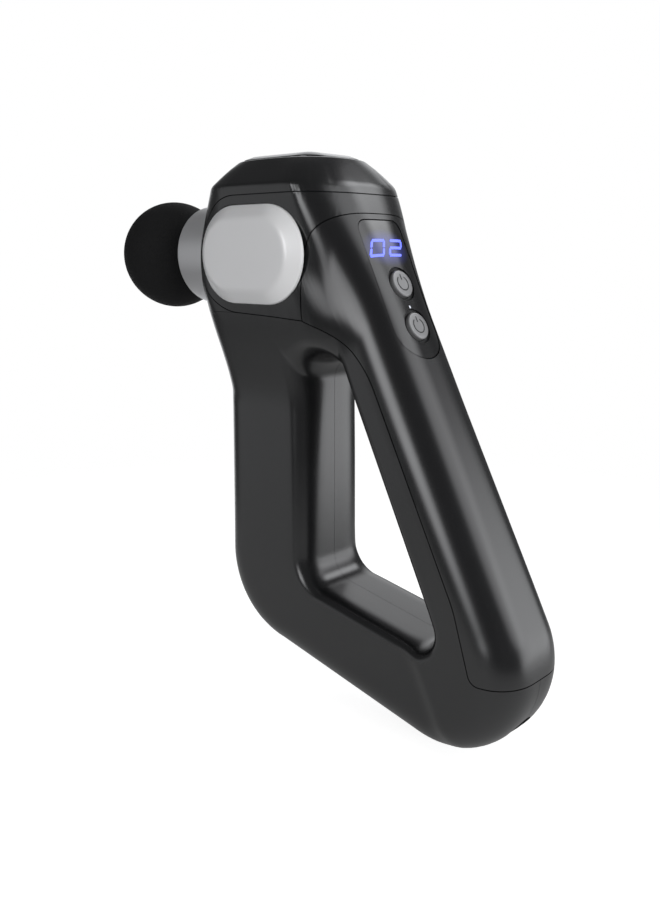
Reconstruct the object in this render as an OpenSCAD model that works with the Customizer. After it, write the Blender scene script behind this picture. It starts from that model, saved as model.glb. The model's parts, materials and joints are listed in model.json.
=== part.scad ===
// Massage gun with a looped handle: a crank and plunger drive in the head,
// a striking ball on a pull-out stem, and a battery pack in the rear handle.
// Lengths are in millimetres. X runs from the ball to the rear handle, Z is up.
// Inside the file the centre of the head is (0, 0, 0); stand() moves it all so
// that the lowest point is at Z = 0 and the overall box is centred on X = 0.

/* [Head] */
// Half the width of the head
head_half = 30; // [29:0.5:32]
// Height of the seam under the hood's top, above the head's centre
seam_z = 22.6; // [22.2:0.2:23]
// Height of the top of the head above its centre
top_z = 36.4; // [35.4:0.2:37.4]
// How far the top's bevel leans in on every side
top_bevel = 9.8; // [8:0.2:10]
// Corner radius of the head seen from above
head_corner = 18; // [14:0.5:20]
// Wall thickness of the casings
wall = 2.4; // [2:0.1:2.6]
// Gap where two casing pieces meet
seam_gap = 0.2; // [0.1:0.05:0.3]

/* [Side outline] */
// Nose front, level with the head's centre
nose_x = -41; // [-42:0.5:-40]
// Front line of the head at its very top
brow_x = -26.5; // [-28:0.5:-25]
// Front of the neck under the head
neck_x = -32.5; // [-34:0.5:-31]
// Height of the neck bend
neck_z = -54.5; // [-57:0.5:-52]
// Front lower corner, X
toe_x = -33.5; // [-35:0.5:-32]
// Front lower corner, Z
toe_z = -157; // [-159:0.5:-154]
// Rounding of the front lower corner
toe_r = 40; // [34:1:42]
// Rear lower corner, X
tail_x = 147.5; // [146:0.5:149]
// Rear lower corner, Z
tail_z = -201.5; // [-203:0.5:-200]
// Rounding of the rear lower corner
tail_r = 35.3; // [34.5:0.1:36]
// Rear line of the head, 26 above its centre
rear_x = 32.5; // [32:0.5:33.5]

/* [Hand opening] */
// Front edge of the opening
open_x = 17; // [16:0.5:17.5]
// Upper corner of the opening before rounding
open_top_z = -4.5; // [-5:0.1:-4]
// Front lower corner of the opening before rounding
open_low_z = -132.4; // [-134:0.2:-131]
// Rear lower corner of the opening, X
open_tail_x = 85.5; // [85:0.5:87]
// Rear lower corner of the opening, Z
open_tail_z = -146; // [-147:0.5:-145]

/* [Section widths] */
// Half the width of the front strut
strut_half = 18.9; // [18:0.1:19.5]
// Half the width of the rear handle
handle_half = 21.5; // [21.4:0.1:22.5]
// Half the width of the bottom bar
base_half = 19.5; // [19:0.1:20.5]

/* [Ball and nose] */
// Radius of the ball
ball_r = 23.8; // [23:0.1:24.5]
// Distance of the ball's centre in front of the head's centre
ball_x = 82.5; // [82:0.5:84]
// Outer radius of the nose collar
collar_r = 20.8; // [20.4:0.1:21]
// Distance of the collar's rim in front of the head's centre
collar_x = 55.8; // [55.4:0.2:56.4]

/* [Drive] */
// Distance of the crank's axis behind the head's centre
crank_x = 8; // [7:0.5:8.5]
// Throw of the crank, half the stroke
throw = 5; // [4:0.5:5]
// Connecting rod length between its two centres
rod_len = 30; // [30:0.5:30.5]
// Radius of the plunger
plunger_r = 10; // [9.5:0.1:10]
// Running clearance between a moving round part and its bore
run_gap = 0.04; // [0.02:0.01:0.08]
// Radius of the motor's rotor can
can_r = 15.5; // [14.5:0.1:15.6]

/* [Controls] */
// Length of the control panel
panel_len = 56.5; // [54:0.5:58]
// Width of the control panel
panel_w = 24.6; // [23:0.2:25]
// Radius of a button
button_r = 5.4; // [5:0.1:5.6]
// Travel of a button
press = 0.5; // [0.4:0.1:0.6]
// Height of the numerals on the display
digit_h = 7.2; // [6:0.2:8]

/* [Battery] */
// Radius of one battery cell with its wrap
cell_r = 9.15; // [9.1:0.05:9.2]
// Length of one battery cell
cell_len = 50; // [49:0.5:51]

/* [Hidden] */

SHELL = "#26272a";
GLOSS = "#101114";
SILVER = "#c9cacc";
STEEL = "#9fa3a8";
RUBBER = "#17181a";
BOARD = "#1f5a3a";
COPPER = "#b5713a";

cap_half_len = 9;                    // half the straight part of a side cap
cap_r = 18.8;                        // radius of a side cap's round ends
nose_arc = seam_z;                   // radius of the hood edge round the front of a side cap
lean = atan((tail_x - rear_x) / (26 - tail_z));   // rear line from upright
skin_top = 60;                       // the casing outline runs past the seam to here
arc_steps = 8;                       // facets on each rounded outline corner
rib_count = 58;                      // sections round the loop
corner_steps = 4;                    // facets on each rounded section corner
side_steps = 3;                      // facets across a section's flat side

outer_v = [[brow_x, skin_top, 8], [nose_x, 1.9, 54], [neck_x, neck_z, 30], [toe_x, toe_z, toe_r],
    [tail_x, tail_z, tail_r], [rear_x - (skin_top - 26) * tan(lean), skin_top, 8]];
inner_v = [[open_x, open_top_z, 10.5], [open_x, open_low_z, 11.5], [open_tail_x, open_tail_z, 6.3]];

// Each rib joins a place on the opening to a place on the outside. A place is
// the number of an outline corner plus a fraction of the way to the next one.
RIBS = [[0, 5.5], [0.07, 6], [0.18, 6.5], [0.38, 7.65], [0.57, 8.25], [0.79, 8.66], [1, 9],
    [1.35, 9.3], [1.7, 9.6], [1.88, 9.77], [2, 10], [2.05, 10.19], [2.2, 10.28],
    [2.45, 10.4], [2.7, 10.56], [2.86, 10.73], [2.95, 10.95], [3, 11.5]];

function unit(v) = v / norm(v);
function mix(a, b, t) = a + (b - a) * t;
function ease(x, a, b) = let(t = max(0, min(1, (x - a) / (b - a)))) t * t * (3 - 2 * t);

// Points of one rounded corner p, between the neighbours a and b.
function corner_arc(a, p, b, r, n) =
    let(u = unit(a - p), v = unit(b - p), half = acos(u * v) / 2)
    let(c = p + unit(u + v) * r / sin(half))
    let(s = p + u * r / tan(half) - c, e = p + v * r / tan(half) - c)
    let(from = atan2(s[1], s[0]), to = atan2(e[1], e[0]))
    let(turn = (to - from + 900) % 360 - 180)
    [for (k = [0:n]) c + r * [cos(from + turn * k / n), sin(from + turn * k / n)]];
function xz(v) = [v[0], v[1]];
function rounded(v, n) = let(m = len(v))
    [for (i = [0:m - 1]) each v[i][2] > 0
        ? corner_arc(xz(v[(i + m - 1) % m]), xz(v[i]), xz(v[(i + 1) % m]), v[i][2], n)
        : [xz(v[i])]];
// Distance run along a closed outline up to each of its points.
function runs(p) = let(m = len(p))
    [for (i = 0, s = 0; i <= m; s = s + norm(p[(i + 1) % m] - p[i % m]), i = i + 1) s];

outer_p = rounded(outer_v, arc_steps);
inner_p = rounded(inner_v, arc_steps);
outer_s = runs(outer_p);
inner_s = runs(inner_p);

// Point of an outline at place q.
function along(p, s, q) =
    let(m = len(p), corners = m / (arc_steps + 1), k = floor(q), total = s[m])
    let(a = s[(k % corners) * (arc_steps + 1) + arc_steps / 2] + total * floor(k / corners))
    let(k2 = k + 1)
    let(b = s[(k2 % corners) * (arc_steps + 1) + arc_steps / 2] + total * floor(k2 / corners))
    let(d = (a + (b - a) * (q - k)) % total)
    [lookup(d, [for (i = [0:m]) [s[i], p[i % m][0]]]),
     lookup(d, [for (i = [0:m]) [s[i], p[i % m][1]]])];

// Half the width of the casing at a point of the side view.
function half_width(x, z) =
    let(rear_here = rear_x + (26 - z) * tan(lean))
    let(below = ease(-z, 22, 60))
    let(rear = ease(x - rear_here, mix(-34, -56, below), mix(-8, -42, below)))
    let(front = mix(strut_half, head_half, ease(z, -62, -10)))
    let(back = mix(handle_half, head_half, ease(z, -26, 26)))
    let(low = ease(-z, 110, 160) * (1 - rear))
    mix(mix(front, back, rear), base_half, low);

// Depth and half flat of the rounded outer edge at place q of the outside.
function outer_depth(q) = lookup(q, [[5.5, head_corner], [6, 21], [6.5, 22],
    [6.6, head_corner], [6.9, head_corner], [7.7, 14.5], [9.7, 14.5], [10.2, 15],
    [10.5, 16.5], [11.1, 16.5], [11.5, head_corner]]);
function outer_flat(q) = lookup(q, [[5.5, head_half - head_corner], [6, 9], [6.5, 8],
    [6.6, head_half - head_corner], [6.9, head_half - head_corner], [7.7, 3], [9.7, 3],
    [10.2, 5], [10.5, 3.2], [10.8, 4], [11.1, 13],
    [11.5, head_half - head_corner]]);
// The same for the edge of the opening.
function inner_depth(q) = lookup(q, [[0, 9], [0.5, 7.5], [0.9, 7], [1.1, 4.5], [1.8, 4.5], [2.1, 7],
    [2.8, 7.5], [3, 9]]);
function inner_flat(q) = lookup(q, [[0, 4], [0.5, 5], [0.9, 5.5], [1.1, 10.5], [1.8, 11], [2.1, 5],
    [2.8, 4.5], [3, 4]]);

// Half section of rib t, as [x, y, z] points from the outside to the opening.
function half_rib(t, inset) =
    let(f = lookup(t, [for (i = [0:len(RIBS) - 1]) [i, RIBS[i][0]]]))
    let(g = lookup(t, [for (i = [0:len(RIBS) - 1]) [i, RIBS[i][1]]]))
    let(a0 = along(inner_p, inner_s, f), b0 = along(outer_p, outer_s, g))
    let(ta = unit(along(inner_p, inner_s, f + 0.02) - along(inner_p, inner_s, f + 2.98)))
    let(tb = unit(along(outer_p, outer_s, g + 0.02) - along(outer_p, outer_s, g - 0.02)))
    let(u = unit(a0 - b0))
    let(ca = max(0.45, abs(u[0] * ta[1] - u[1] * ta[0])))
    let(cb = max(0.45, abs(u[0] * tb[1] - u[1] * tb[0])))
    let(a = a0 - u * inset / ca, b = b0 + u * inset / cb, span = norm(a - b))
    let(ea = (inner_depth(f) - inset * 0.7) / ca, eb = (outer_depth(g) - inset * 0.7) / cb)
    let(fit = min(1, 0.94 * span / (ea + eb)), ia = ea * fit, ib = eb * fit)
    let(fb = max(1.5, outer_flat(g) - inset * 0.3), fa = max(1.5, inner_flat(f) - inset * 0.3))
    let(d = [each [for (k = [0:corner_steps]) ib * (1 - pow(cos(90 * k / corner_steps), 0.92))],
        each [for (k = [1:side_steps]) ib + (span - ia - ib) * k / (side_steps + 1)],
        each [for (k = [corner_steps:-1:0]) span - ia * (1 - pow(cos(90 * k / corner_steps), 0.92))]])
    let(rise = [each [for (k = [0:corner_steps]) [fb, pow(sin(90 * k / corner_steps), 0.92)]],
        each [for (k = [1:side_steps]) [0, 1]],
        each [for (k = [corner_steps:-1:0]) [fa, pow(sin(90 * k / corner_steps), 0.92)]]])
    [for (k = [0:len(d) - 1]) let(p = b + u * d[k], w = half_width(p[0], p[1]) - inset)
        [p[0], mix(rise[k][0], w, rise[k][1]), p[1]]];

// The closed loop of head, strut, bottom bar and handle, as one solid.
module loop_solid(inset) {
    ribs = [for (i = [0:rib_count - 1])
        let(h = half_rib(i * (len(RIBS) - 1) / rib_count, inset))
        [each h, each [for (k = [len(h) - 1:-1:0]) [h[k][0], -h[k][1], h[k][2]]]]];
    m = len(ribs[0]);
    points = [for (r = ribs) each r];
    faces = [for (i = [0:rib_count - 1], j = [0:m - 1])
        let(i2 = (i + 1) % rib_count, j2 = (j + 1) % m)
        [i * m + j, i2 * m + j, i2 * m + j2, i * m + j2]];
    polyhedron(points, faces, convexity = 8);
}

module stand() {
    translate([-middle_x, 0, -low_z]) children();
}
// Evaluates a sculpted casing as one mesh.
module moulded() {
    resize([0, 0, 0]) children();
}
// Prism across the part with the 2-D shape of its children in the side view.
module side_prism(width) {
    rotate([90, 0, 0]) linear_extrude(height = width, center = true) children();
}
// Cylinder along Y from y0 to y1.
module rod_y(r, y0, y1, fn = 48) {
    translate([0, y1, 0]) rotate([90, 0, 0]) cylinder(r = r, h = y1 - y0, $fn = fn);
}
// Cylinder along X from x0 to x1.
module rod_x(r, x0, x1, fn = 64) {
    translate([x0, 0, 0]) rotate([0, 90, 0]) cylinder(r = r, h = x1 - x0, $fn = fn);
}
module tube_x(r_out, r_in, x0, x1, fn = 64) {
    difference() {
        rod_x(r_out, x0, x1, fn);
        rod_x(r_in, x0 - 1, x1 + 1, fn);
    }
}
// Frame on the rear line: X out of the surface, Z up the slope, 0 at the top.
module on_rear() {
    translate([rear_x, 0, 26]) rotate([0, -lean, 0]) children();
}
module slab(size, at) {
    translate(at) translate(-size / 2) cube(size);
}

tail_c = let(u = unit(xz(outer_v[3]) - xz(outer_v[4])), v = unit(xz(outer_v[5]) - xz(outer_v[4])))
    xz(outer_v[4]) + unit(u + v) * tail_r / sin(acos(u * v) / 2);
rim = [for (i = [0:rib_count - 1]) half_rib(i * (len(RIBS) - 1) / rib_count, 0)[0]];
low_z = min([for (p = rim) p[2]]);
middle_x = (max([for (p = rim) p[0]]) - ball_x - ball_r) / 2;

/* Casings */
cover_v = [[110, 18.2, 0], [25.6, 18.2, 24], [25.4, -24.6, 1.5], [45.6, -32.1, 16],
    [92.5, -123.5, 50], [100.5, -149.5, 4.5], [150, -150.5, 0]];
module cover_2d() polygon(rounded(cover_v, 12));
module cheek_2d() {
    difference() {
        union() {
            translate([-cap_half_len, 0]) circle(r = nose_arc, $fn = 72);
            polygon([[-cap_half_len, nose_arc], [110, nose_arc], [110, -24.6], [25.4, -24.6],
                [-cap_half_len, -nose_arc]]);
        }
        cover_2d();
    }
}
module hood_2d() {
    difference() {
        union() {
            translate([-80, seam_z]) square([220, 60]);
            translate([-80, -nose_arc]) square([80 - cap_half_len, 100]);
        }
        cheek_2d();
    }
}
module frame_2d() {
    difference() {
        translate([-80, -240]) square([260, 260]);
        cover_2d();
        cheek_2d();
        hood_2d();
        translate([-80, seam_z]) square([260, 60]);
    }
}
// Solid head top: the head's plan at the seam, drawn in to the flat top.
module top_solid(inset) {
    z0 = seam_z - 0.05;
    shrink_x = 1 - 2 * top_bevel / 70;
    shrink_y = 1 - top_bevel / head_half;
    module plan() {
        intersection() {
            loop_solid(inset);
            translate([-100, -60, z0]) cube([200, 120, 0.2]);
        }
    }
    hull() {
        plan();
        translate([0, 0, 4.5]) scale([0.985, 0.985, 1]) plan();
        translate([0, 0, top_z - inset - z0 - 0.2]) scale([shrink_x, shrink_y, 1]) plan();
    }
}
module full_solid(inset) {
    intersection() {
        loop_solid(inset);
        translate([-100, -60, -300]) cube([300, 120, 300 + seam_z + 0.05]);
    }
    top_solid(inset);
}
// The whole casing as a thin wall, cut to a region of the side view.
module casing() {
    intersection() {
        difference() {
            full_solid(0);
            full_solid(wall);
        }
        side_prism(80) offset(delta = -seam_gap / 2) children();
    }
}
module stadium_y(r, y0, y1, fn = 72) {
    for (x = [-cap_half_len, cap_half_len]) translate([x, 0, 0]) rod_y(r, y0, y1, fn);
    translate([-cap_half_len, y0, -r]) cube([2 * cap_half_len, y1 - y0, 2 * r]);
}
module nose_hole() {
    rod_x(collar_r + 0.15, -70, -20);
}
top_pocket = 0.8;
top_dome = 2.6;                      // rise of the domed plate above the hood
module top_plate_2d(gap) {
    offset(r = 9 + gap, $fn = 48) square([24, 16], center = true);
}

module front_hood() stand() color(SHELL) moulded() {
    difference() {
        casing() hood_2d();
        nose_hole();
        translate([-1, 0, top_z - top_pocket]) linear_extrude(5) top_plate_2d(0.1);
    }
}
module top_plate() stand() color(GLOSS) {
    translate([-1, 0, top_z - top_pocket]) linear_extrude(top_pocket + 0.6) top_plate_2d(0);
    hull() {
        translate([-1, 0, top_z + 0.5]) linear_extrude(0.1) top_plate_2d(0);
        translate([-1, 0, top_z + 1.9]) linear_extrude(0.1) top_plate_2d(-3.5);
        translate([-1, 0, top_z + top_dome - 0.1]) linear_extrude(0.1) top_plate_2d(-7.5);
    }
}
module head_housing() stand() color(SHELL) moulded() {
    difference() {
        casing() cheek_2d();
        nose_hole();
        for (side = [-1, 1]) scale([1, side, 1]) {
            stadium_y(cap_r + 0.15, head_half - 1, head_half + 5);
            for (x = peg_at) translate([x, 0, 0]) rod_y(1.7, head_half - 5, head_half, 24);
        }
    }
}
// Screw pillar of one frame half; the right half takes the head.
module pillar(side) {
    difference() {
        case_screw_places() mirror([0, 0, side > 0 ? 0 : 1])
            translate([0, 0, seam_gap / 2]) cylinder(r = 4.2, h = screw_seat + 1.5, $fn = 24);
        if (side > 0) case_screw_places() {
            cylinder(r = 1.6, h = 40, $fn = 24);
            translate([0, 0, screw_seat]) cylinder(r = 3.1, h = 20, $fn = 24);
        }
        if (side < 0) case_screw_places() translate([0, 0, -screw_len]) cylinder(r = 1.35, h = 40, $fn = 24);
    }
}
module frame_half(side) {
    difference() {
        casing() frame_2d();
        nose_hole();
        jack_recess(0.15);
        scale([1, -side, 1]) translate([-100, -seam_gap / 2, -300]) cube([400, 100, 500]);
        if (side > 0) case_screw_places()
            translate([0, 0, screw_seat]) cylinder(r = 3.1, h = 20, $fn = 24);
    }
    pillar(side);
}
module left_frame() stand() color(SHELL) moulded() frame_half(-1);
module right_frame() stand() color(SHELL) moulded() frame_half(1);
module rear_cover() stand() color(SHELL) moulded() {
    difference() {
        casing() cover_2d();
        on_rear() panel_prism(0.15, -8, 6);
        jack_recess(0.15);
    }
}

/* Side caps and nose */
peg_at = [-14, 14];
cap_top_y = head_half + 4.6;
module side_cap(side) {
    scale([1, side, 1]) {
        hull() {
            stadium_y(cap_r, head_half - 0.9, head_half + 0.2, 48);
            stadium_y(cap_r - 5, cap_top_y - 0.1, cap_top_y, 48);
        }
        for (x = peg_at) translate([x, 0, 0]) rod_y(1.6, head_half - wall, head_half - 0.8, 24);
    }
}
module side_cap_left() stand() color(SILVER) side_cap(-1);
module side_cap_right() stand() color(SILVER) side_cap(1);

tube_r = 15.5;                       // outside of the drive frame's guide tube
collar_in = collar_r - 3.2;
module nose_collar() stand() color(SILVER) {
    tube_x(collar_r, collar_in, -collar_x, -31);
    tube_x(collar_in + 0.1, tube_r + 0.05, -37, -31);
}
module nose_seal() stand() color(RUBBER) {
    tube_x(collar_in - 0.1, plunger_r + 0.1, -50.6, -49.2);
}

/* Controls, in the frame on the rear line */
panel_top = -14.8;
upper_at = -41;
lower_at = -58.3;
led_at = -50.4;
digits_at = -26.2;
board_x = -9.2;
board_t = 1.6;
digit_w = 8;                         // width of a numeral
bar_t = 1.1;                         // thickness of its bars
digit_pitch = 10.6;                  // from one numeral to the next
digits_y = -0.8;                     // middle of the pair
digit_slant = 0.54;                  // sideways lean per millimetre of height
digit_deep = 0.9;                    // depth of the lit bars below the surface
module panel_2d(gap) {
    hull() {
        for (y = [-1, 1]) translate([panel_top - 4, y * (panel_w / 2 - 4)]) circle(r = 4 + gap, $fn = 24);
        translate([panel_top - panel_len + panel_w / 2, 0]) circle(r = panel_w / 2 + gap, $fn = 48);
    }
}
// Prism out of the rear line with the panel's outline, x0 to x1.
module panel_prism(gap, x0, x1) {
    translate([x0, 0, 0]) rotate([0, -90, 0]) mirror([0, 0, 1])
        linear_extrude(height = x1 - x0) panel_2d(gap);
}
module at_buttons() {
    for (z = [upper_at, lower_at]) translate([0, 0, z]) children();
}
ring_r = button_r + 1.5;
module control_panel() stand() color(GLOSS) moulded() {
    difference() {
        intersection() {
            difference() {
                loop_solid(0.3);
                loop_solid(wall);
            }
            on_rear() panel_prism(0, -8, 6);
        }
        on_rear() {
            at_buttons() rod_x(ring_r + 0.1, -6, 4, 48);
            translate([0, 0, led_at]) rod_x(0.8, -6, 4, 24);
        }
        intersection() {
            shallow(0.25, digit_deep + 0.1);
            on_rear() numerals(0.03);
        }
    }
}
// Layer of the casing between two depths below its surface.
module shallow(from, to) {
    difference() {
        loop_solid(from);
        loop_solid(to);
    }
}
// One numeral as prisms along X, from the list of its lit bars, middle at (y, z).
module numeral(bars, y, gap) {
    half = digit_h / 2;
    spots = [[half, 0], [half / 2, 1], [-half / 2, 1], [-half, 0], [-half / 2, -1], [half / 2, -1], [0, 0]];
    for (b = bars) {
        flat = spots[b][1] == 0;
        up = (flat ? bar_t / 2 : half / 2 - bar_t * 0.62) + gap;
        out = (flat ? digit_w / 2 - bar_t * 0.62 : bar_t / 2) + gap;
        z = spots[b][0] * (1 - bar_t / digit_h);
        y0 = y + spots[b][1] * (digit_w - bar_t) / 2;
        translate([-8, 0, digits_at]) rotate([0, -90, 0]) mirror([0, 0, 1]) linear_extrude(height = 10)
            polygon([for (c = [[-1, -1], [1, -1], [1, 1], [-1, 1]])
                [z + c[0] * up, y0 + c[1] * out + digit_slant * (z + c[0] * up)]]);
    }
}
module numerals(gap) {
    numeral([0, 1, 2, 3, 4, 5], digits_y - digit_pitch / 2, gap);
    numeral([0, 1, 6, 4, 3], digits_y + digit_pitch / 2, gap);
}
module display_digits() stand() color("#5f7dff") moulded() {
    intersection() {
        shallow(0.35, digit_deep);
        on_rear() numerals(0);
    }
}
module display_module() stand() color("#2b2d31") on_rear() {
    slab([2.8, 18, 9], [board_x + board_t + 1.4, 0, digits_at]);
}
module button_rings() stand() color(RUBBER) on_rear() at_buttons() {
    difference() {
        rod_x(ring_r, -2.6, 0.25, 48);
        rod_x(button_r + 0.1, -4, 2, 48);
    }
}
module button() {
    rod_x(button_r, -2.2, 0.1, 48);
    translate([0.1, 0, 0]) rotate([0, 90, 0])
        cylinder(r1 = button_r, r2 = button_r - 0.6, h = 0.45, $fn = 48);
    rod_x(1.5, -4.2, -2.2, 24);
}
module actuator() {
    rod_x(1.2, -5.9, -4.2, 24);
}
module speed_button() stand() color(STEEL) on_rear() translate([0, 0, upper_at]) button();
module power_button() stand() color(STEEL) on_rear() translate([0, 0, lower_at]) button();
module speed_actuator() stand() color("#e8e6df") on_rear() translate([0, 0, upper_at]) actuator();
module power_actuator() stand() color("#e8e6df") on_rear() translate([0, 0, lower_at]) actuator();
module tact_switches() stand() color("#3a3d42") on_rear() at_buttons() {
    difference() {
        slab([2.3, 6, 6], [board_x + board_t + 1.15, 0, 0]);
        rod_x(1.3, -6.7, 0, 24);
    }
}
module status_led() stand() color("#eef2ff") on_rear() translate([0, 0, led_at]) {
    rod_x(0.7, -2.6, -0.1, 24);
    slab([1.6, 2.4, 2.4], [-3.4, 0, 0]);
    slab([3.2, 0.5, 0.5], [-5.8, 0, 0]);
}
module control_board() stand() color(BOARD) on_rear() {
    slab([board_t, 21, 52], [board_x + board_t / 2, 0, -42]);
}

/* Charging socket at the bottom of the rear handle */
jack_angle = -39.5;
jack_r = 5.6;
module on_jack() {
    translate([tail_c[0], 0, tail_c[1]]) rotate([0, -jack_angle, 0]) translate([tail_r, 0, 0]) children();
}
module jack_recess(gap) {
    on_jack() rod_x(jack_r + gap, -12, 8, 48);
}
jack_bore = 4.2;
jack_depth = 3;
module charge_jack() stand() color(RUBBER) on_jack() {
    difference() {
        rod_x(jack_r, -11.5, -0.6, 48);
        rod_x(jack_bore, -jack_depth - 0.6, 2, 48);
        rod_x(2.75, -9.5, 2, 48);
        rod_x(1.02, -12, -9, 24);
    }
}
module jack_pin() stand() color(STEEL) on_jack() {
    rod_x(1, -11.4, -4.2, 24);
}

/* Battery pack, in the frame on the rear line */
pack_x = -14.9;
pack_top = -68;
module at_cells() {
    for (row = [0, 1], y = [-1, 1])
        translate([pack_x, y * (cell_r + 0.08), pack_top - (row + 1) * (cell_len + 0.6)]) children();
}
module battery_cells() stand() color("#2e6fb0") on_rear() at_cells() {
    cylinder(r = cell_r, h = cell_len, $fn = 48);
}
module battery_holder() stand() color("#d9d4c4") on_rear() {
    for (z = [-8, -43, -59, -94]) translate([pack_x, 0, pack_top + z]) difference() {
        slab([13, 9, 4], [0, 0, 0]);
        for (y = [-1, 1]) translate([0, y * (cell_r + 0.08), -4])
            cylinder(r = cell_r + 0.04, h = 8, $fn = 96);
    }
}
module battery_tabs() stand() color(STEEL) on_rear() {
    for (z = [-0.15, -cell_len - 0.9, -2 * cell_len - 1.5])
        slab([6, 24, 0.25], [pack_x, 0, pack_top + z]);
}
module battery_board() stand() color(BOARD) on_rear() {
    slab([1.2, 8, 40], [pack_x - cell_r + 0.9, 0, pack_top - 30]);
}

/* Drive: motor on the far side of the head, crank in the middle */
plate_y = [22.4, 25.4];
front_wall = [-28, -25];
bush_r = 12.6;
wrist_x = crank_x - rod_len;
arm_y = [-20, -17.6];
bolt_ring = 10;
module drive_frame() stand() color(STEEL) {
    difference() {
        union() {
            translate([front_wall[0] + 2.9, plate_y[0], -16.5]) cube([47.3, plate_y[1] - plate_y[0], 33]);
            translate([front_wall[0], arm_y[0], -16.5]) cube([3, plate_y[0] + 1.4 - arm_y[0], 33]);
            translate([front_wall[0], arm_y[0], -14]) cube([40, arm_y[1] - arm_y[0], 28]);
            rod_x(tube_r, -49, front_wall[1]);
            for (x = [-16, 8], z = [-11, 11]) translate([x, 0, z]) rod_y(2, -21.6, arm_y[0], 24);
        }
        rod_x(bush_r, -60, -20);
        translate([crank_x, 0, 0]) {
            rod_y(6.5, 20, 30, 48);
            for (a = [45:90:315]) rotate([0, a, 0]) translate([bolt_ring, 0, 0]) rod_y(1.3, 20, 30, 24);
        }
    }
}
module guide_bush() stand() color("#b08d4a") {
    tube_x(bush_r - 0.02, plunger_r + run_gap, -48.6, front_wall[1] - 0.5);
}
module damper_pads() stand() color(RUBBER) {
    for (x = [-19, 15.5], z = [-12.5, 12.5]) translate([x, 0, z])
        rod_y(3, plate_y[1] + 0.05, plate_y[1] + 0.6, 24);
}
module drive_screws() stand() color(STEEL) translate([crank_x, 0, 0]) {
    for (a = [45:90:315]) rotate([0, a, 0]) translate([bolt_ring, 0, 0]) {
        rod_y(1.2, 21, plate_y[1], 24);
        rod_y(2.2, plate_y[1], plate_y[1] + 1.4, 24);
    }
}
screw_seat = 14.6;                   // height of the screw head's seat from the middle
screw_len = 8;                       // thread past the middle
// Places of the screws that close the two frame halves, facing +Y.
module case_screw_places() {
    for (p = [[-8, -96], [-4, -140], [34, -154], [74, -163]])
        translate([p[0], 0, p[1]]) rotate([-90, 0, 0]) children();
}
module case_screws() stand() color(STEEL) case_screw_places() {
    translate([0, 0, 1 - screw_len]) cylinder(r = 1.25, h = screw_seat + screw_len - 1, $fn = 24);
    difference() {
        translate([0, 0, screw_seat]) cylinder(r = 2.8, h = 2, $fn = 24);
        for (a = [0, 90]) rotate([0, 0, a]) slab([3.4, 0.7, 1.6], [0, 0, screw_seat + 1.8]);
    }
}

shaft_r = 2.5;
base_y = [20.2, 22.3];
core_y = [11.8, 18.6];
can_y = [9.2, 19.6];
teeth = 9;
module on_crank() {
    translate([crank_x, 0, 0]) children();
}
module motor_stator() stand() color("#8d8f94") on_crank() {
    difference() {
        union() {
            rod_y(13, base_y[0], base_y[1], 48);
            rod_y(6.6, 11.4, base_y[0], 48);
            for (i = [0:teeth - 1]) rotate([0, i * 360 / teeth, 0]) {
                slab([6, core_y[1] - core_y[0], 2], [9, (core_y[0] + core_y[1]) / 2, 0]);
                slab([0.9, core_y[1] - core_y[0], 6], [11.5, (core_y[0] + core_y[1]) / 2, 0]);
            }
        }
        rod_y(4.02, 5, 30, 48);
        for (a = [45:90:315]) rotate([0, a, 0]) translate([bolt_ring, 0, 0]) rod_y(1.25, 20.9, 30, 24);
    }
}
module motor_coils() stand() color(COPPER) on_crank() {
    mid = (core_y[0] + core_y[1]) / 2;
    for (i = [0:teeth - 1]) rotate([0, i * 360 / teeth, 0]) difference() {
        slab([3.2, 8.2, 4], [9.35, mid, 0]);
        slab([5, core_y[1] - core_y[0] + 0.04, 2.04], [9.35, mid, 0]);
    }
}
module shaft_bearings() stand() color(STEEL) on_crank() {
    for (y = [11.6, 19.7]) difference() {
        rod_y(4, y, y + 2.5, 48);
        rod_y(shaft_r + 0.02, y - 1, y + 4, 48);
        for (e = [y - 0.3, y + 2.2]) difference() {
            rod_y(3.5, e, e + 0.6, 48);
            rod_y(3, e - 1, e + 2, 48);
        }
    }
}
module rotor_can() stand() color("#55585e") on_crank() {
    difference() {
        rod_y(can_r, can_y[0], can_y[1], 64);
        rod_y(can_r - 1.2, can_y[0] + 1.2, can_y[1] + 1, 64);
        rod_y(shaft_r + 0.01, can_y[0] - 1, can_y[1], 48);
        for (a = [0:60:300]) rotate([0, a, 0]) translate([9.5, 0, 0])
            rod_y(2.4, can_y[0] - 1, can_y[0] + 1.19, 24);
    }
}
module rotor_magnets() stand() color(STEEL) on_crank() {
    poles = 12;
    for (i = [0:poles - 1]) rotate([0, (i + 0.5) * 360 / poles, 0])
        slab([1.1, 7, 5], [can_r - 2.15, 15.2, 0]);
}
module motor_shaft() stand() color(STEEL) on_crank() {
    rod_y(shaft_r, 4.2, base_y[1] + 2, 48);
}
module crank_disc() stand() color("#6f7277") on_crank() {
    difference() {
        union() {
            rod_y(6.5, 4.2, 8.8, 48);
            hull() {
                rod_y(5, 4.2, 8.8, 32);
                translate([0, 0, throw]) rod_y(4.6, 4.2, 8.8, 32);
            }
            intersection() {
                rod_y(12.5, 4.2, 8.8, 64);
                translate([-20, 0, -20]) cube([40, 20, 18]);
            }
        }
        rod_y(shaft_r + 0.01, 0, 12, 48);
        translate([0, 0, throw]) rod_y(2.01, 0, 12, 48);
    }
}
module crank_pin() stand() color(STEEL) on_crank() translate([0, 0, throw]) {
    rod_y(2, -3.4, 8.7, 48);
    rod_y(3, -4, -3.4, 48);
}
module crank_roller() stand() color("#b08d4a") on_crank() translate([0, 0, throw]) {
    difference() {
        rod_y(3, -3.2, 3.2, 48);
        rod_y(2.03, -4, 4, 48);
    }
}
eye_r = 16.2;                        // clear bore of the open big end
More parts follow.
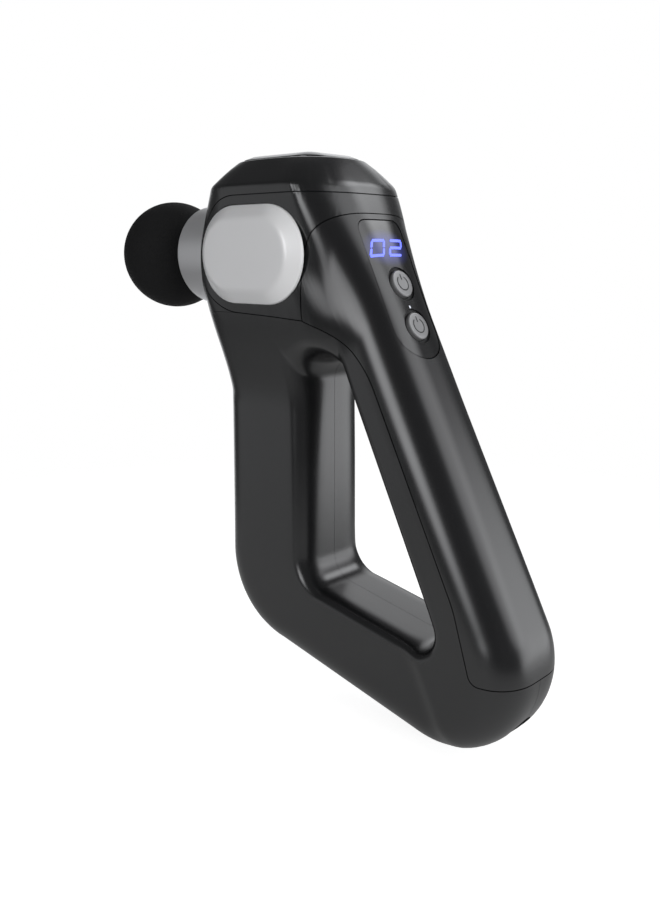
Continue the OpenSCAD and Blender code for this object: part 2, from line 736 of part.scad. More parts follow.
liner_r = eye_r + 0.8;
ring_out = liner_r + 2.4;
module connecting_rod() stand() color("#b9bcc1") {
    difference() {
        union() {
            on_crank() rod_y(ring_out, -3, 3, 72);
            translate([wrist_x, -3, -3.6]) cube([rod_len - liner_r, 6, 7.2]);
            translate([wrist_x, 0, 0]) rod_y(5.4, -3, 3, 48);
        }
        on_crank() rod_y(liner_r + 0.02, -5, 5, 72);
        translate([wrist_x, 0, 0]) rod_y(3.02, -5, 5, 48);
    }
}
module big_end_liner() stand() color("#b08d4a") on_crank() {
    difference() {
        rod_y(liner_r, -2.9, 2.9, 72);
        rod_y(eye_r, -5, 5, 72);
    }
}
module small_end_bush() stand() color("#b08d4a") translate([wrist_x, 0, 0]) {
    difference() {
        rod_y(3, -2.9, 2.9, 48);
        rod_y(2 + run_gap, -5, 5, 48);
    }
}
plunger_front = -59.5;
stem_r = 6;
module plunger() stand() color("#d2d4d7") {
    difference() {
        rod_x(plunger_r, plunger_front, wrist_x + 8);
        rod_x(stem_r + 0.06, plunger_front - 1, plunger_front + 15.5);
        translate([wrist_x - 8.5, -3.3, -12]) cube([40, 6.6, 24]);
        translate([wrist_x, 0, 0]) rod_y(2.01, -12, 12, 48);
    }
}
module wrist_pin() stand() color(STEEL) translate([wrist_x, 0, 0]) {
    rod_y(2, -9.2, 9.2, 48);
}

/* Pull-out head */
ring_at = [-48.5, -54];
module head_stem() stand() color("#2a2b2e") {
    difference() {
        union() {
            rod_x(stem_r, -ball_x - 4, plunger_front + 14.5);
            rod_x(9.5, plunger_front - 3.6, plunger_front - 0.1);
        }
        for (x = ring_at) tube_x(stem_r + 1, stem_r - 0.9, x - 0.9, x + 0.9);
    }
}
module stem_rings() stand() color(RUBBER) {
    for (x = ring_at) translate([x, 0, 0]) rotate([0, 90, 0])
        rotate_extrude($fn = 48) translate([stem_r - 0.42, 0]) square([0.92, 1.6], center = true);
}
module massage_ball() stand() color(RUBBER) {
    difference() {
        translate([-ball_x, 0, 0]) sphere(r = ball_r, $fn = 96);
        rod_x(stem_r + 0.03, -ball_x - 4.05, 0);
        translate([plunger_front - 3.7, -20, -20]) cube([20, 40, 40]);
    }
}

/* Electronics and wires beside the drive */
module driver_board() stand() color(BOARD) {
    translate([-20, -23.3, -14]) cube([34, 1.6, 28]);
}
module driver_parts() stand() color("#1b1c1f") {
    for (x = [-15:6.5:11], z = [-6, 6]) translate([x - 2.4, -24.7, z - 2.8]) cube([4.8, 1.3, 5.6]);
}
// Round wire through the points of path.
module wire(path, r) {
    for (i = [0:len(path) - 2]) hull() for (p = [path[i], path[i + 1]])
        translate(p) sphere(r = r, $fn = 10);
}
module phase_wires() stand() color("#c9a227") {
    for (i = [0:2]) let(x = crank_x - 6 + 3 * i)
        wire([[x, 20.9, -16.4], [x, 16, -27], [x, -16, -27], [x, -22.5, -16]], 0.8);
}
module battery_wires() stand() color("#a3262a") {
    for (y = [0, 3]) translate([0, y, 0])
        wire([[15, -22.5, -2], [29, -16, -6], [37, -1.5, -27], [46.8, -1.5, -52.4]], 0.9);
}

front_hood();
head_housing();
left_frame();
right_frame();
rear_cover();
top_plate();
side_cap_left();
side_cap_right();
nose_collar();
nose_seal();
control_panel();
display_digits();
button_rings();
status_led();
speed_button();
power_button();
speed_actuator();
power_actuator();
control_board();
tact_switches();
display_module();
charge_jack();
jack_pin();
battery_cells();
battery_holder();
battery_tabs();
battery_board();
drive_frame();
guide_bush();
damper_pads();
drive_screws();
case_screws();
motor_stator();
motor_coils();
shaft_bearings();
rotor_can();
rotor_magnets();
motor_shaft();
crank_disc();
crank_pin();
crank_roller();
connecting_rod();
big_end_liner();
small_end_bush();
plunger();
wrist_pin();
head_stem();
stem_rings();
massage_ball();
driver_board();
driver_parts();
phase_wires();
battery_wires();
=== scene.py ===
"""Massage gun with a looped handle: the looks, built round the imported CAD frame.

Lengths below are in millimetres from the centre of the head, the middle between the
two side caps. X runs from the ball to the rear handle, Y across, Z up. PLACE turns them
into metres in the frame's own axes.
"""

import json
import math

import bmesh
import bpy
import numpy as np
from mathutils import Matrix, Vector


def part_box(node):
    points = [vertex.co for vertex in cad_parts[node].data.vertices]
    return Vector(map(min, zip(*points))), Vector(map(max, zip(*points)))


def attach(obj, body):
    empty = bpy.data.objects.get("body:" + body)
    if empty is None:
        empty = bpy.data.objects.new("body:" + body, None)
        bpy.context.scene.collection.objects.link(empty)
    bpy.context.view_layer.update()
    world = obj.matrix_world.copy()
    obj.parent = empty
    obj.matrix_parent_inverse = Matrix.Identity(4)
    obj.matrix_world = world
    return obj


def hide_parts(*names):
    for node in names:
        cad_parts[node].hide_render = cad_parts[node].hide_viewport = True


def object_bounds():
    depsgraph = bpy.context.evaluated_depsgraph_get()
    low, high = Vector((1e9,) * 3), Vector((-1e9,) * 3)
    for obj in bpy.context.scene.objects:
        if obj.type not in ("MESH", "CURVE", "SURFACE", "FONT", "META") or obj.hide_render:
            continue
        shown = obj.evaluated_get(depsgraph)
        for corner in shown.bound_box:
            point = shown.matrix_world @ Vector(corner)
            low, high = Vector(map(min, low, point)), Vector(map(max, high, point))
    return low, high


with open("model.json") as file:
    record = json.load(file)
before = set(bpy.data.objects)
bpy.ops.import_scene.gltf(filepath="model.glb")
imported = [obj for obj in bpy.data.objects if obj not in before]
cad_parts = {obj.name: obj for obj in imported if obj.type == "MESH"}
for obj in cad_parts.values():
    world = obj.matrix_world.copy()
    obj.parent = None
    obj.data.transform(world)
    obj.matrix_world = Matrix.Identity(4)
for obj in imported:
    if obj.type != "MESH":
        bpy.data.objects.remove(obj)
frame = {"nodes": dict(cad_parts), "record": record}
cad_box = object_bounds()

MM = 0.001
cap_low, cap_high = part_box("side_cap_left")
HEAD = Vector(((cap_low.x + cap_high.x) / 2, 0.0, (cap_low.z + cap_high.z) / 2))
PLACE = Matrix.Translation(HEAD) @ Matrix.Scale(MM, 4)

# Head: half width, height of the hood's seam, height where the crown starts, rise to its
# crease, height of its flat top, width of its bevel, and how far its corners draw in
HEAD_HALF = 30.0
SEAM_Z = 22.6
BAND_Z = 25.0
CREASE_RISE = 1.4
TOP_Z = 36.4
TOP_BEVEL = 9.4
CORNER_PULL = 9.0
# Rounding of the head's side edges, and the thickness of the casing
HEAD_CORNER = 18.0
WALL = 2.4
# Side caps: half the straight run, the radius, and how far they stand out
CAP_HALF_LEN = 9.0
CAP_R = 18.8
CAP_PROUD = 4.6
# Straight rear line: a point of it, the tail's corner (x, z, rounding) at its foot, its
# lean, and the height above the crown where it ends before the top is cut off
REAR_X = 32.5
REAR_Z = 26.0
TAIL = (147.5, -201.5, 35.3)
SKIN_TOP = 60.0
LEAN = math.atan((TAIL[0] - REAR_X) / (REAR_Z - TAIL[1]))
# Outlines of the side view: corners as (x, z, rounding)
OUTSIDE = [
    (-26.5, SKIN_TOP, 8.0),
    (-41.0, 1.9, 54.0),
    (-32.5, -54.5, 30.0),
    (-33.5, -157.0, 40.0),
    TAIL,
    (REAR_X - (SKIN_TOP - REAR_Z) * math.tan(LEAN), SKIN_TOP, 8.0),
]
OPENING = [(17.0, -4.5, 10.5), (17.0, -132.4, 11.5), (85.5, -146.0, 6.3)]
COVER_SEAM = [
    (112.0, 18.2, 0.0), (25.6, 18.2, 24.0), (25.4, -24.6, 1.0), (47.3, -32.9, 46.0),
    (92.5, -123.5, 50.0), (100.5, -149.5, 4.5), (152.0, -150.5, 0.0),
]
# Half widths of the front strut, the rear handle and the base
STRUT_HALF = 18.9
HANDLE_HALF = 21.5
BASE_HALF = 19.5
# Each rib joins a place on the opening to a place on the outside: corner number
# plus the fraction of the way to the next corner.
RIBS = [
    (0.0, 5.5), (0.07, 6.0), (0.18, 6.5), (0.38, 7.65), (0.57, 8.25), (0.79, 8.66), (1.0, 9.0),
    (1.35, 9.3), (1.7, 9.6), (1.88, 9.77), (2.0, 10.0), (2.05, 10.19), (2.2, 10.28),
    (2.45, 10.4), (2.7, 10.56), (2.86, 10.73), (2.95, 10.95), (3.0, 11.5),
]
# Rounded edge along the outside and along the opening, as (place, size): how deep the
# rounding goes, and half the flat that is left between the two edges
OUTER_DEPTH = [(5.5, HEAD_CORNER), (6.0, 21.0), (6.5, 22.5), (6.75, HEAD_CORNER), (6.9, HEAD_CORNER),
               (7.7, 14.5), (9.7, 14.5), (10.2, 15.0),
               (10.5, 16.5), (10.8, 16.5), (11.1, 16.5), (11.5, HEAD_CORNER)]
HEAD_FLAT = HEAD_HALF - HEAD_CORNER
OUTER_FLAT = [(5.5, HEAD_FLAT), (6.0, 9.0), (6.5, 7.5), (6.75, HEAD_FLAT), (6.9, HEAD_FLAT),
              (7.7, 3.0), (9.7, 3.0), (10.2, 5.0),
              (10.5, 3.2), (10.8, 4.0), (11.1, 13.0), (11.5, HEAD_FLAT)]
INNER_DEPTH = [(0.0, 9.0), (0.5, 7.5), (0.9, 7.0), (1.1, 4.5), (1.8, 4.5), (2.1, 7.0),
               (2.8, 7.5), (3.0, 9.0)]
INNER_FLAT = [(0.0, 4.0), (0.5, 5.0), (0.9, 5.5), (1.1, 10.5), (1.8, 11.0), (2.1, 5.0),
              (2.8, 4.5), (3.0, 4.0)]
# Nose and ball
BALL_X = -82.5
BALL_R = 23.8
COLLAR_R = 20.8
COLLAR_RIM = -55.8
# Controls: places up the rear line from (REAR_X, REAR_Z), and the panel's sizes
PANEL_TOP = -14.8
PANEL_LEN = 56.5
PANEL_W = 24.6
PANEL_SUNK = 0.22
UPPER_AT = -41.0
LED_AT = -50.4
LOWER_AT = -58.3
LED_R = 0.75
DIGITS_AT = -26.2
DIGITS_Y = -0.8
# Glow round the numerals: half its width and half its height in metres, and its strength
HALO_ACROSS = 0.0145
HALO_UP = 0.0085
HALO_POWER = 0.2
# Buttons and the wells round them
BUTTON_R = 5.4
RING_R = 6.9
# Charging socket: which way it faces, and its radius
JACK_ANGLE = math.radians(-39.5)
JACK_R = 5.6
# Gaps between casing pieces, and the lips inside the walls that close them to the eye
SEAM = 0.42
FINE_SEAM = 0.14
LIP_DEPTH = (1.0, 2.1)
LIP_W = 2.4
# How far a cutter runs inward and outward through the wall, how far one runs to either
# side, and the part of the side view that the largest has to cover
THROUGH = (-9, 8)
REACH = 70.0
WHOLE_SIDE = [(-100, -250), (200, -250), (200, 60), (-100, 60)]


# ---------------------------------------------------------------- outlines
def unit(v):
    return v / np.linalg.norm(v)


def unit_rows(v):
    """Unit vectors along the last axis."""
    return v / np.linalg.norm(v, axis=-1)[..., None]


def ease(x, a, b):
    """Smooth step from 0 at a to 1 at b."""
    t = np.clip((x - a) / (b - a), 0, 1)
    return t * t * (3 - 2 * t)


def mix(a, b, t):
    return a + (b - a) * t


def arc_centre(a, p, b, r):
    """Centre of the rounding of corner p, the ways to both neighbours, half the angle."""
    u, v = unit(a - p), unit(b - p)
    half = math.acos(float(u @ v)) / 2
    return p + unit(u + v) * r / math.sin(half), u, v, half


def corner_arc(a, p, b, r, steps):
    """Points of the rounded corner p between its neighbours a and b."""
    c, u, v, half = arc_centre(a, p, b, r)
    s = p + u * r / math.tan(half) - c
    e = p + v * r / math.tan(half) - c
    start = math.atan2(s[1], s[0])
    turn = (math.atan2(e[1], e[0]) - start + 5 * math.pi) % (2 * math.pi) - math.pi
    angles = start + turn * np.linspace(0, 1, steps + 1)
    return c + r * np.stack([np.cos(angles), np.sin(angles)], -1)


def rounded(corners, steps):
    """Points of a closed outline with the corners' roundings worked in."""
    pts = [np.array(c[:2], float) for c in corners]
    out = []
    n = len(pts)
    for i, c in enumerate(corners):
        if c[2] > 0:
            out.extend(corner_arc(pts[i - 1], pts[i], pts[(i + 1) % n], c[2], steps))
        else:
            out.append(pts[i])
    return np.array(out)


class Outline:
    """A closed outline that can be read at a place: corner number plus fraction."""

    STEPS = 40

    def __init__(self, corners):
        self.points = rounded(corners, self.STEPS)
        self.corners = len(corners)
        closed = np.vstack([self.points, self.points[:1]])
        self.run = np.concatenate([[0], np.cumsum(np.linalg.norm(np.diff(closed, axis=0), axis=1))])
        self.closed = closed
        self.stations = self.run[np.arange(self.corners) * (self.STEPS + 1) + self.STEPS // 2]

    def at(self, places):
        """Points at places, spread evenly between the middles of the corners."""
        q = np.asarray(places, float)
        k = np.floor(q).astype(int)
        total = self.run[-1]
        a = self.stations[k % self.corners] + total * (k // self.corners)
        k2 = k + 1
        b = self.stations[k2 % self.corners] + total * (k2 // self.corners)
        d = (a + (b - a) * (q - k)) % total
        return np.stack([np.interp(d, self.run, self.closed[:, i]) for i in (0, 1)], -1)

    def along(self, places):
        """Unit directions of the outline at places."""
        return unit_rows(self.at(places + 0.01) - self.at(places - 0.01))


outside = Outline(OUTSIDE)
opening = Outline(OPENING)


def half_width(x, z):
    """Half the width of the casing at a point of the side view.

    It goes from the front's width to the rear's with the distance from the rear line,
    and from the head's to the strut's, the handle's and the base's with the height.
    """
    rear_here = REAR_X + (REAR_Z - z) * math.tan(LEAN)
    below = ease(-z, 22, 60)
    rear = ease(x - rear_here, mix(-34, -56, below), mix(-8, -42, below))
    front = mix(STRUT_HALF, HEAD_HALF, ease(z, -62, -10))
    back = mix(HANDLE_HALF, HEAD_HALF, ease(z, -26, 26))
    low = ease(-z, 110, 160) * (1 - rear)
    return mix(mix(front, back, rear), BASE_HALF, low)


# ---------------------------------------------------------------- the loop
RIB_COUNT = 320
# Points on one rounded edge and on one side of a rib, and how full the rounding is
CORNER_STEPS = 12
SIDE_STEPS = 8
SECTION_POWER = 0.92
# Fine steps round the loop for smoothing, and how many of them a smoothing spans
FINE_STEPS = 1600
SMOOTHING = 91


def smooth_round(values, period_rise, window):
    """Smooths the values of one turn of the loop, which rise by period_rise in a turn."""
    n = len(values)
    line = period_rise * np.arange(n) / n
    kernel = np.hanning(window + 2)[1:-1]
    kernel /= kernel.sum()
    rest = values - line
    wrapped = np.concatenate([rest[-window:], rest, rest[:window]])
    return np.convolve(wrapped, kernel, "same")[window:-window] + line


def rib_table():
    """Places and edge sizes of evenly spread ribs round the loop."""
    keys = np.array(RIBS)
    t = np.linspace(0, len(RIBS) - 1, FINE_STEPS, endpoint=False)
    f = np.interp(t, np.arange(len(RIBS)), keys[:, 0])
    g = np.interp(t, np.arange(len(RIBS)), keys[:, 1])
    sizes = [smooth_round(np.interp(place, *np.array(table).T), 0, SMOOTHING)
             for place, table in ((g, OUTER_DEPTH), (g, OUTER_FLAT), (f, INNER_DEPTH), (f, INNER_FLAT))]
    f = smooth_round(f, len(OPENING), SMOOTHING)
    g = smooth_round(g, len(OUTSIDE), SMOOTHING)
    a, b = opening.at(f), outside.at(g)
    step = np.linalg.norm(a - np.roll(a, -1, 0), axis=1) + np.linalg.norm(b - np.roll(b, -1, 0), axis=1)
    run = np.concatenate([[0], np.cumsum(step)])
    want = np.linspace(0, run[-1], RIB_COUNT, endpoint=False)
    index = np.interp(want, run, np.arange(FINE_STEPS + 1))

    def pick(v, rise):
        return np.interp(index, np.arange(FINE_STEPS + 1), np.append(v, v[0] + rise))

    return [pick(f, len(OPENING)), pick(g, len(OUTSIDE))] + [pick(size, 0) for size in sizes]


rib_f, rib_g, rib_depth, rib_flat, rib_inner, rib_inner_flat = rib_table()


def loop_rings(inset):
    """Rings of points round the loop, [rib, point, xyz]; inset draws the surface in.

    A ring runs from the middle of the outside over one rounded edge, down the side, over
    the edge of the opening to its middle, and back on the other side.
    """
    a0, b0 = opening.at(rib_f), outside.at(rib_g)
    ta, tb = opening.along(rib_f), outside.along(rib_g)
    u = (a0 - b0) / np.linalg.norm(a0 - b0, axis=1)[:, None]
    # how squarely each rib crosses the opening's and the outside's outline
    ca = np.maximum(0.45, np.abs(u[:, 0] * ta[:, 1] - u[:, 1] * ta[:, 0]))
    cb = np.maximum(0.45, np.abs(u[:, 0] * tb[:, 1] - u[:, 1] * tb[:, 0]))
    a = a0 - u * (inset / ca)[:, None]
    b = b0 + u * (inset / cb)[:, None]
    span = np.linalg.norm(a - b, axis=1)
    ea = (rib_inner - inset * 0.7) / ca
    eb = (rib_depth - inset * 0.7) / cb
    # both rounded edges together stay shorter than the rib
    fit = np.minimum(1, 0.94 * span / (ea + eb))
    ea, eb = ea * fit, eb * fit
    flat_out = np.maximum(1.5, rib_flat - inset * 0.3)
    flat_in = np.maximum(1.5, rib_inner_flat - inset * 0.3)
    turn = np.radians(90) * np.arange(CORNER_STEPS + 1) / CORNER_STEPS
    deep = 1 - np.cos(turn) ** SECTION_POWER
    rise = np.sin(turn) ** SECTION_POWER
    side = np.arange(1, SIDE_STEPS + 1) / (SIDE_STEPS + 1)
    flats_out = np.array([0, 0.35, 0.7])
    flats_in = np.array([0.5, 0.0])
    rings = []
    for i in range(len(span)):
        d = np.concatenate([0 * flats_out, eb[i] * deep, eb[i] + (span[i] - ea[i] - eb[i]) * side,
                            (span[i] - ea[i] * deep)[::-1], span[i] + 0 * flats_in])
        low = np.concatenate([flat_out[i] * flats_out, np.full(CORNER_STEPS + 1, flat_out[i]), 0 * side,
                              np.full(CORNER_STEPS + 1, flat_in[i]), flat_in[i] * flats_in])
        up = np.concatenate([0 * flats_out, rise, 0 * side + 1, rise[::-1], 0 * flats_in])
        p = b[i] + u[i] * d[:, None]
        y = mix(low, half_width(p[:, 0], p[:, 1]) - inset, up)
        half = np.stack([p[:, 0], y, p[:, 1]], -1)
        back = half[-2:0:-1] * np.array([1, -1, 1])
        rings.append(np.vstack([half, back]))
    return np.array(rings)


def new_mesh(name, points, faces):
    mesh = bpy.data.meshes.new(name)
    mesh.from_pydata([tuple(p) for p in points], [], faces)
    return mesh


def grid_faces(n, m):
    """Faces of n rings of m points each, closed both ways."""
    return [(i * m + j, i * m + (j + 1) % m, (i + 1) % n * m + (j + 1) % m, (i + 1) % n * m + j)
            for i in range(n) for j in range(m)]


def outward(bm):
    """Turns all faces outward, so that the volume is positive."""
    bmesh.ops.recalc_face_normals(bm, faces=bm.faces)
    if bm.calc_volume(signed=True) < 0:
        bmesh.ops.reverse_faces(bm, faces=bm.faces)


def boundary_loop(bm):
    """Vertices of the one open edge loop, in order."""
    edges = [e for e in bm.edges if e.is_boundary]
    first = edges[0]
    loop = [first.verts[0], first.verts[1]]
    last = first
    while True:
        here = loop[-1]
        last = next(e for e in here.link_edges if e.is_boundary and e is not last)
        other = last.other_vert(here)
        if other is loop[0]:
            return loop
        loop.append(other)


def crown_profile(start_slope, inset):
    """(inward, upward) steps of the head's top, from the band to the flat."""
    crease = np.array([start_slope * CREASE_RISE, CREASE_RISE])
    edge = np.array([TOP_BEVEL, TOP_Z - BAND_Z])
    inner = edge + np.array([3.0, 0.1])
    path = [np.zeros(2)]
    soft = 1.3
    for before, corner, after, reach in ((np.zeros(2), crease, edge, soft), (crease, edge, inner, 0.7)):
        s = corner - unit(corner - before) * reach
        e = corner + unit(after - corner) * reach
        for t in np.linspace(0, 1, 6):
            path.append(mix(mix(s, corner, t), mix(corner, e, t), t))
        if corner is crease:
            for t in (0.25, 0.5, 0.75):
                path.append(mix(e, edge, t * 0.9))
    path.append(inner)
    return np.array(path)


def bridge(bm, below, above):
    """Faces between two rings of equally many vertices."""
    for i in range(len(below)):
        j = (i + 1) % len(below)
        bm.faces.new((below[i], below[j], above[j], above[i]))


def drop_loose(bm):
    """Removes edges without length and corners without faces."""
    bmesh.ops.dissolve_degenerate(bm, dist=1e-4, edges=bm.edges)
    loose = [v for v in bm.verts if not v.link_faces]
    bmesh.ops.delete(bm, geom=loose, context="VERTS")


def full_solid(name, inset):
    """The whole closed casing shape, drawn in by inset: the loop with the crown on it."""
    rings = loop_rings(inset)
    bm = bmesh.new()
    mesh = new_mesh(name, rings.reshape(-1, 3), grid_faces(*rings.shape[:2]))
    bm.from_mesh(mesh)
    band = BAND_Z - inset * 0.5
    everything = bm.verts[:] + bm.edges[:] + bm.faces[:]
    bmesh.ops.bisect_plane(bm, geom=everything, dist=1e-5, plane_co=(0, 0, band), plane_no=(0, 0, 1),
                           clear_outer=True)
    drop_loose(bm)
    loop = boundary_loop(bm)
    pts = np.array([v.co for v in loop])
    spread = (pts.max(0) - pts.min(0))[:2] / 2
    centre = (pts.max(0) + pts.min(0))[:2] / 2
    side = (pts[:, :2] - centre) / spread
    cornered = np.maximum(0, np.linalg.norm(side, axis=1) - 1.0)
    pull = unit_rows(pts[:, :2] - centre) * (cornered * CORNER_PULL)[:, None]
    # how much the walls already lean in where the crown starts, smoothed round the loop
    lean_in = np.zeros(len(loop))
    for i, v in enumerate(loop):
        down = min((e.other_vert(v) for e in v.link_edges if not e.is_boundary), key=lambda w: w.co.z)
        drop = max(1e-6, v.co.z - down.co.z)
        lean_in[i] = float((np.array(down.co)[:2] - pts[i, :2]) @ unit(side[i])) / drop
    kernel = np.hanning(9)[1:-1] / np.hanning(9)[1:-1].sum()
    wrapped = np.concatenate([lean_in[-8:], lean_in, lean_in[:8]])
    lean_in = np.clip(np.convolve(wrapped, kernel, "same")[8:-8], 0, 0.7)
    profiles = [crown_profile(s, inset) for s in lean_in]
    previous = loop
    shrink = (TOP_Z - inset - band) / (TOP_Z - BAND_Z)
    for k in range(1, len(profiles[0])):
        row = []
        for i in range(len(loop)):
            inward, up = profiles[i][k]
            bite = min(1.0, up / (TOP_Z - BAND_Z)) ** 4
            x, y = pts[i, :2] - side[i] * inward * (1 - inset * 0.02) - pull[i] * bite
            row.append(bm.verts.new((x, y, band + up * shrink)))
        bridge(bm, previous, row)
        previous = row
    top = np.array([v.co for v in previous])
    middle = top.mean(0)
    for share in (0.7, 0.4, 0.15):
        row = [bm.verts.new(mix(middle, p, share)) for p in top]
        bridge(bm, previous, row)
        previous = row
    bm.faces.new(previous)
    outward(bm)
    bm.to_mesh(mesh)
    bm.free()
    return working(name, mesh)


# ---------------------------------------------------------------- working objects
def working(name, mesh):
    """An object in the scene; it stays in millimetres until finish_piece places it."""
    obj = bpy.data.objects.new(name, mesh)
    bpy.context.scene.collection.objects.link(obj)
    return obj


def duplicate(obj, name):
    return working(name, obj.data.copy())


def discard(*objects):
    for obj in objects:
        bpy.data.objects.remove(obj)


def apply_modifiers(obj):
    graph = bpy.context.evaluated_depsgraph_get()
    mesh = bpy.data.meshes.new_from_object(obj.evaluated_get(graph))
    obj.modifiers.clear()
    obj.data = mesh
    return obj


def boolean(obj, cutter, operation, keep=False):
    """Cuts obj with cutter, or joins or overlaps them; the cutter goes unless kept."""
    mod = obj.modifiers.new("cut", "BOOLEAN")
    mod.operation = operation
    mod.object = cutter
    mod.solver = "MANIFOLD"
    apply_modifiers(obj)
    if not len(obj.data.polygons):
        raise RuntimeError(f"nothing left of {obj.name} after {cutter.name}")
    if not keep:
        discard(cutter)
    return obj


def merged(objects, name):
    """One object in place of several."""
    bm = bmesh.new()
    for obj in objects:
        bm.from_mesh(obj.data)
    mesh = bpy.data.meshes.new(name)
    bm.to_mesh(mesh)
    bm.free()
    discard(*objects)
    return working(name, mesh)


def solid(name, points, faces):
    """A closed object with all its faces turned outward."""
    mesh = new_mesh(name, points, faces)
    bm = bmesh.new()
    bm.from_mesh(mesh)
    outward(bm)
    bm.to_mesh(mesh)
    bm.free()
    return working(name, mesh)


def loft(name, rows):
    """Closed shape through rings of equally many points, capped at both ends."""
    n = len(rows[0])
    last = n * (len(rows) - 1)
    faces = [(a + i, a + (i + 1) % n, a + n + (i + 1) % n, a + n + i)
             for a in range(0, last, n) for i in range(n)]
    faces += [tuple(range(n)), tuple(range(last, last + n))]
    return solid(name, [p for row in rows for p in row], faces)


def prism(name, outline, low, high, frame_matrix=Matrix()):
    """Closed prism: the outline's points (u, v) go to frame X and Z, low to high along Y."""
    return loft(name, [[frame_matrix @ Vector((u, y, v)) for u, v in outline] for y in (low, high)])


def ribbon(name, path, gap):
    """Thin wall that follows a path of the side view right across the part."""
    path = np.asarray(path, float)
    ahead = np.gradient(path, axis=0)
    side = np.stack([ahead[:, 1], -ahead[:, 0]], -1)
    side /= np.linalg.norm(side, axis=1)[:, None]
    outline = np.vstack([path + side * gap / 2, (path - side * gap / 2)[::-1]])
    return prism(name, outline, -REACH, REACH)


def middle_slab(name, thickness):
    """Slab on the middle plane, as large as the whole gun."""
    return prism(name, WHOLE_SIDE, -thickness / 2, thickness / 2)


def stadium(r, half_len, steps):
    """Outline of two half circles with a straight run between them."""
    right = np.linspace(-math.pi / 2, math.pi / 2, steps + 1)
    left = right + math.pi
    return np.vstack([np.stack([half_len + r * np.cos(right), r * np.sin(right)], -1),
                      np.stack([-half_len + r * np.cos(left), r * np.sin(left)], -1)])


def lathe(name, profile, steps=96):
    """Closed turned shape about X from profile points (x, radius); radius 0 closes it."""
    pts, rings = [], []
    for x, r in profile:
        if r < 1e-6:
            rings.append([len(pts)])
            pts.append((x, 0, 0))
        else:
            rings.append(list(range(len(pts), len(pts) + steps)))
            for a in np.linspace(0, 2 * math.pi, steps, endpoint=False):
                pts.append((x, r * math.cos(a), r * math.sin(a)))
    faces = []
    pairs = list(zip(rings, rings[1:]))
    if len(rings[0]) > 1:
        pairs.append((rings[-1], rings[0]))
    for a, b in pairs:
        for i in range(steps):
            j = (i + 1) % steps
            if len(a) == 1 and len(b) == 1:
                continue
            if len(a) == 1:
                faces.append((a[0], b[i], b[j]))
            elif len(b) == 1:
                faces.append((a[i], a[j], b[0]))
            else:
                faces.append((a[i], a[j], b[j], b[i]))
    return solid(name, pts, faces)


def bend(points, radius, steps=5):
    """Rounds the corners of an open profile by about radius."""
    pts = [np.array(p, float) for p in points]
    out = [pts[0]]
    for a, p, b in zip(pts, pts[1:], pts[2:]):
        reach = min(radius, np.linalg.norm(a - p) * 0.45, np.linalg.norm(b - p) * 0.45)
        s, e = p + unit(a - p) * reach, p + unit(b - p) * reach
        out.extend(mix(mix(s, p, t), mix(p, e, t), t) for t in np.linspace(0, 1, steps))
    out.append(pts[-1])
    return [tuple(p) for p in out]


# Fewest corners of a real shell; what is smaller is a splinter of a cut
SMALLEST_SHELL = 60


def islands(obj):
    """The separate closed shells of obj, as new objects with their lowest and highest corners."""
    bm = bmesh.new()
    bm.from_mesh(obj.data)
    seen, groups = set(), []
    for start in bm.verts:
        if start.index in seen:
            continue
        stack, group = [start], []
        seen.add(start.index)
        while stack:
            v = stack.pop()
            group.append(v.index)
            for e in v.link_edges:
                w = e.other_vert(v)
                if w.index not in seen:
                    seen.add(w.index)
                    stack.append(w)
        groups.append(group)
    bm.free()
    found = []
    for group in groups:
        if len(group) < SMALLEST_SHELL:
            continue
        keep = set(group)
        part = duplicate(obj, obj.name + "_part")
        pm = bmesh.new()
        pm.from_mesh(part.data)
        bmesh.ops.delete(pm, geom=[v for v in pm.verts if v.index not in keep], context="VERTS")
        pm.to_mesh(part.data)
        pm.free()
        co = np.array([v.co for v in part.data.vertices])
        found.append((part, co.min(0), co.max(0)))
    discard(obj)
    return found


# ---------------------------------------------------------------- finishing a piece
def finish_piece(obj, name, body, slot, replaces=(), material=None, bevel=0.0, sharp=35.0):
    """Names, shades and places a working object, and joins it to its CAD body."""
    obj.name = name
    if bevel:
        mod = obj.modifiers.new("lips", "BEVEL")
        mod.width = bevel
        mod.segments = 2
        mod.limit_method = "ANGLE"
        mod.angle_limit = math.radians(50)
        mod.miter_outer = "MITER_ARC"
        mod.use_clamp_overlap = True
        apply_modifiers(obj)
    bm = bmesh.new()
    bm.from_mesh(obj.data)
    bmesh.ops.remove_doubles(bm, verts=bm.verts, dist=1e-4)
    bmesh.ops.dissolve_degenerate(bm, dist=1e-4, edges=bm.edges)
    bm.transform(PLACE)
    bm.to_mesh(obj.data)
    bm.free()
    obj.data.name = name
    obj.data.shade_smooth()
    obj.data.set_sharp_from_angle(angle=math.radians(sharp))
    obj.data.materials.clear()
    obj.data.materials.append(material or materials[slot])
    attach(obj, body)
    if replaces:
        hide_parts(*replaces)
    return obj


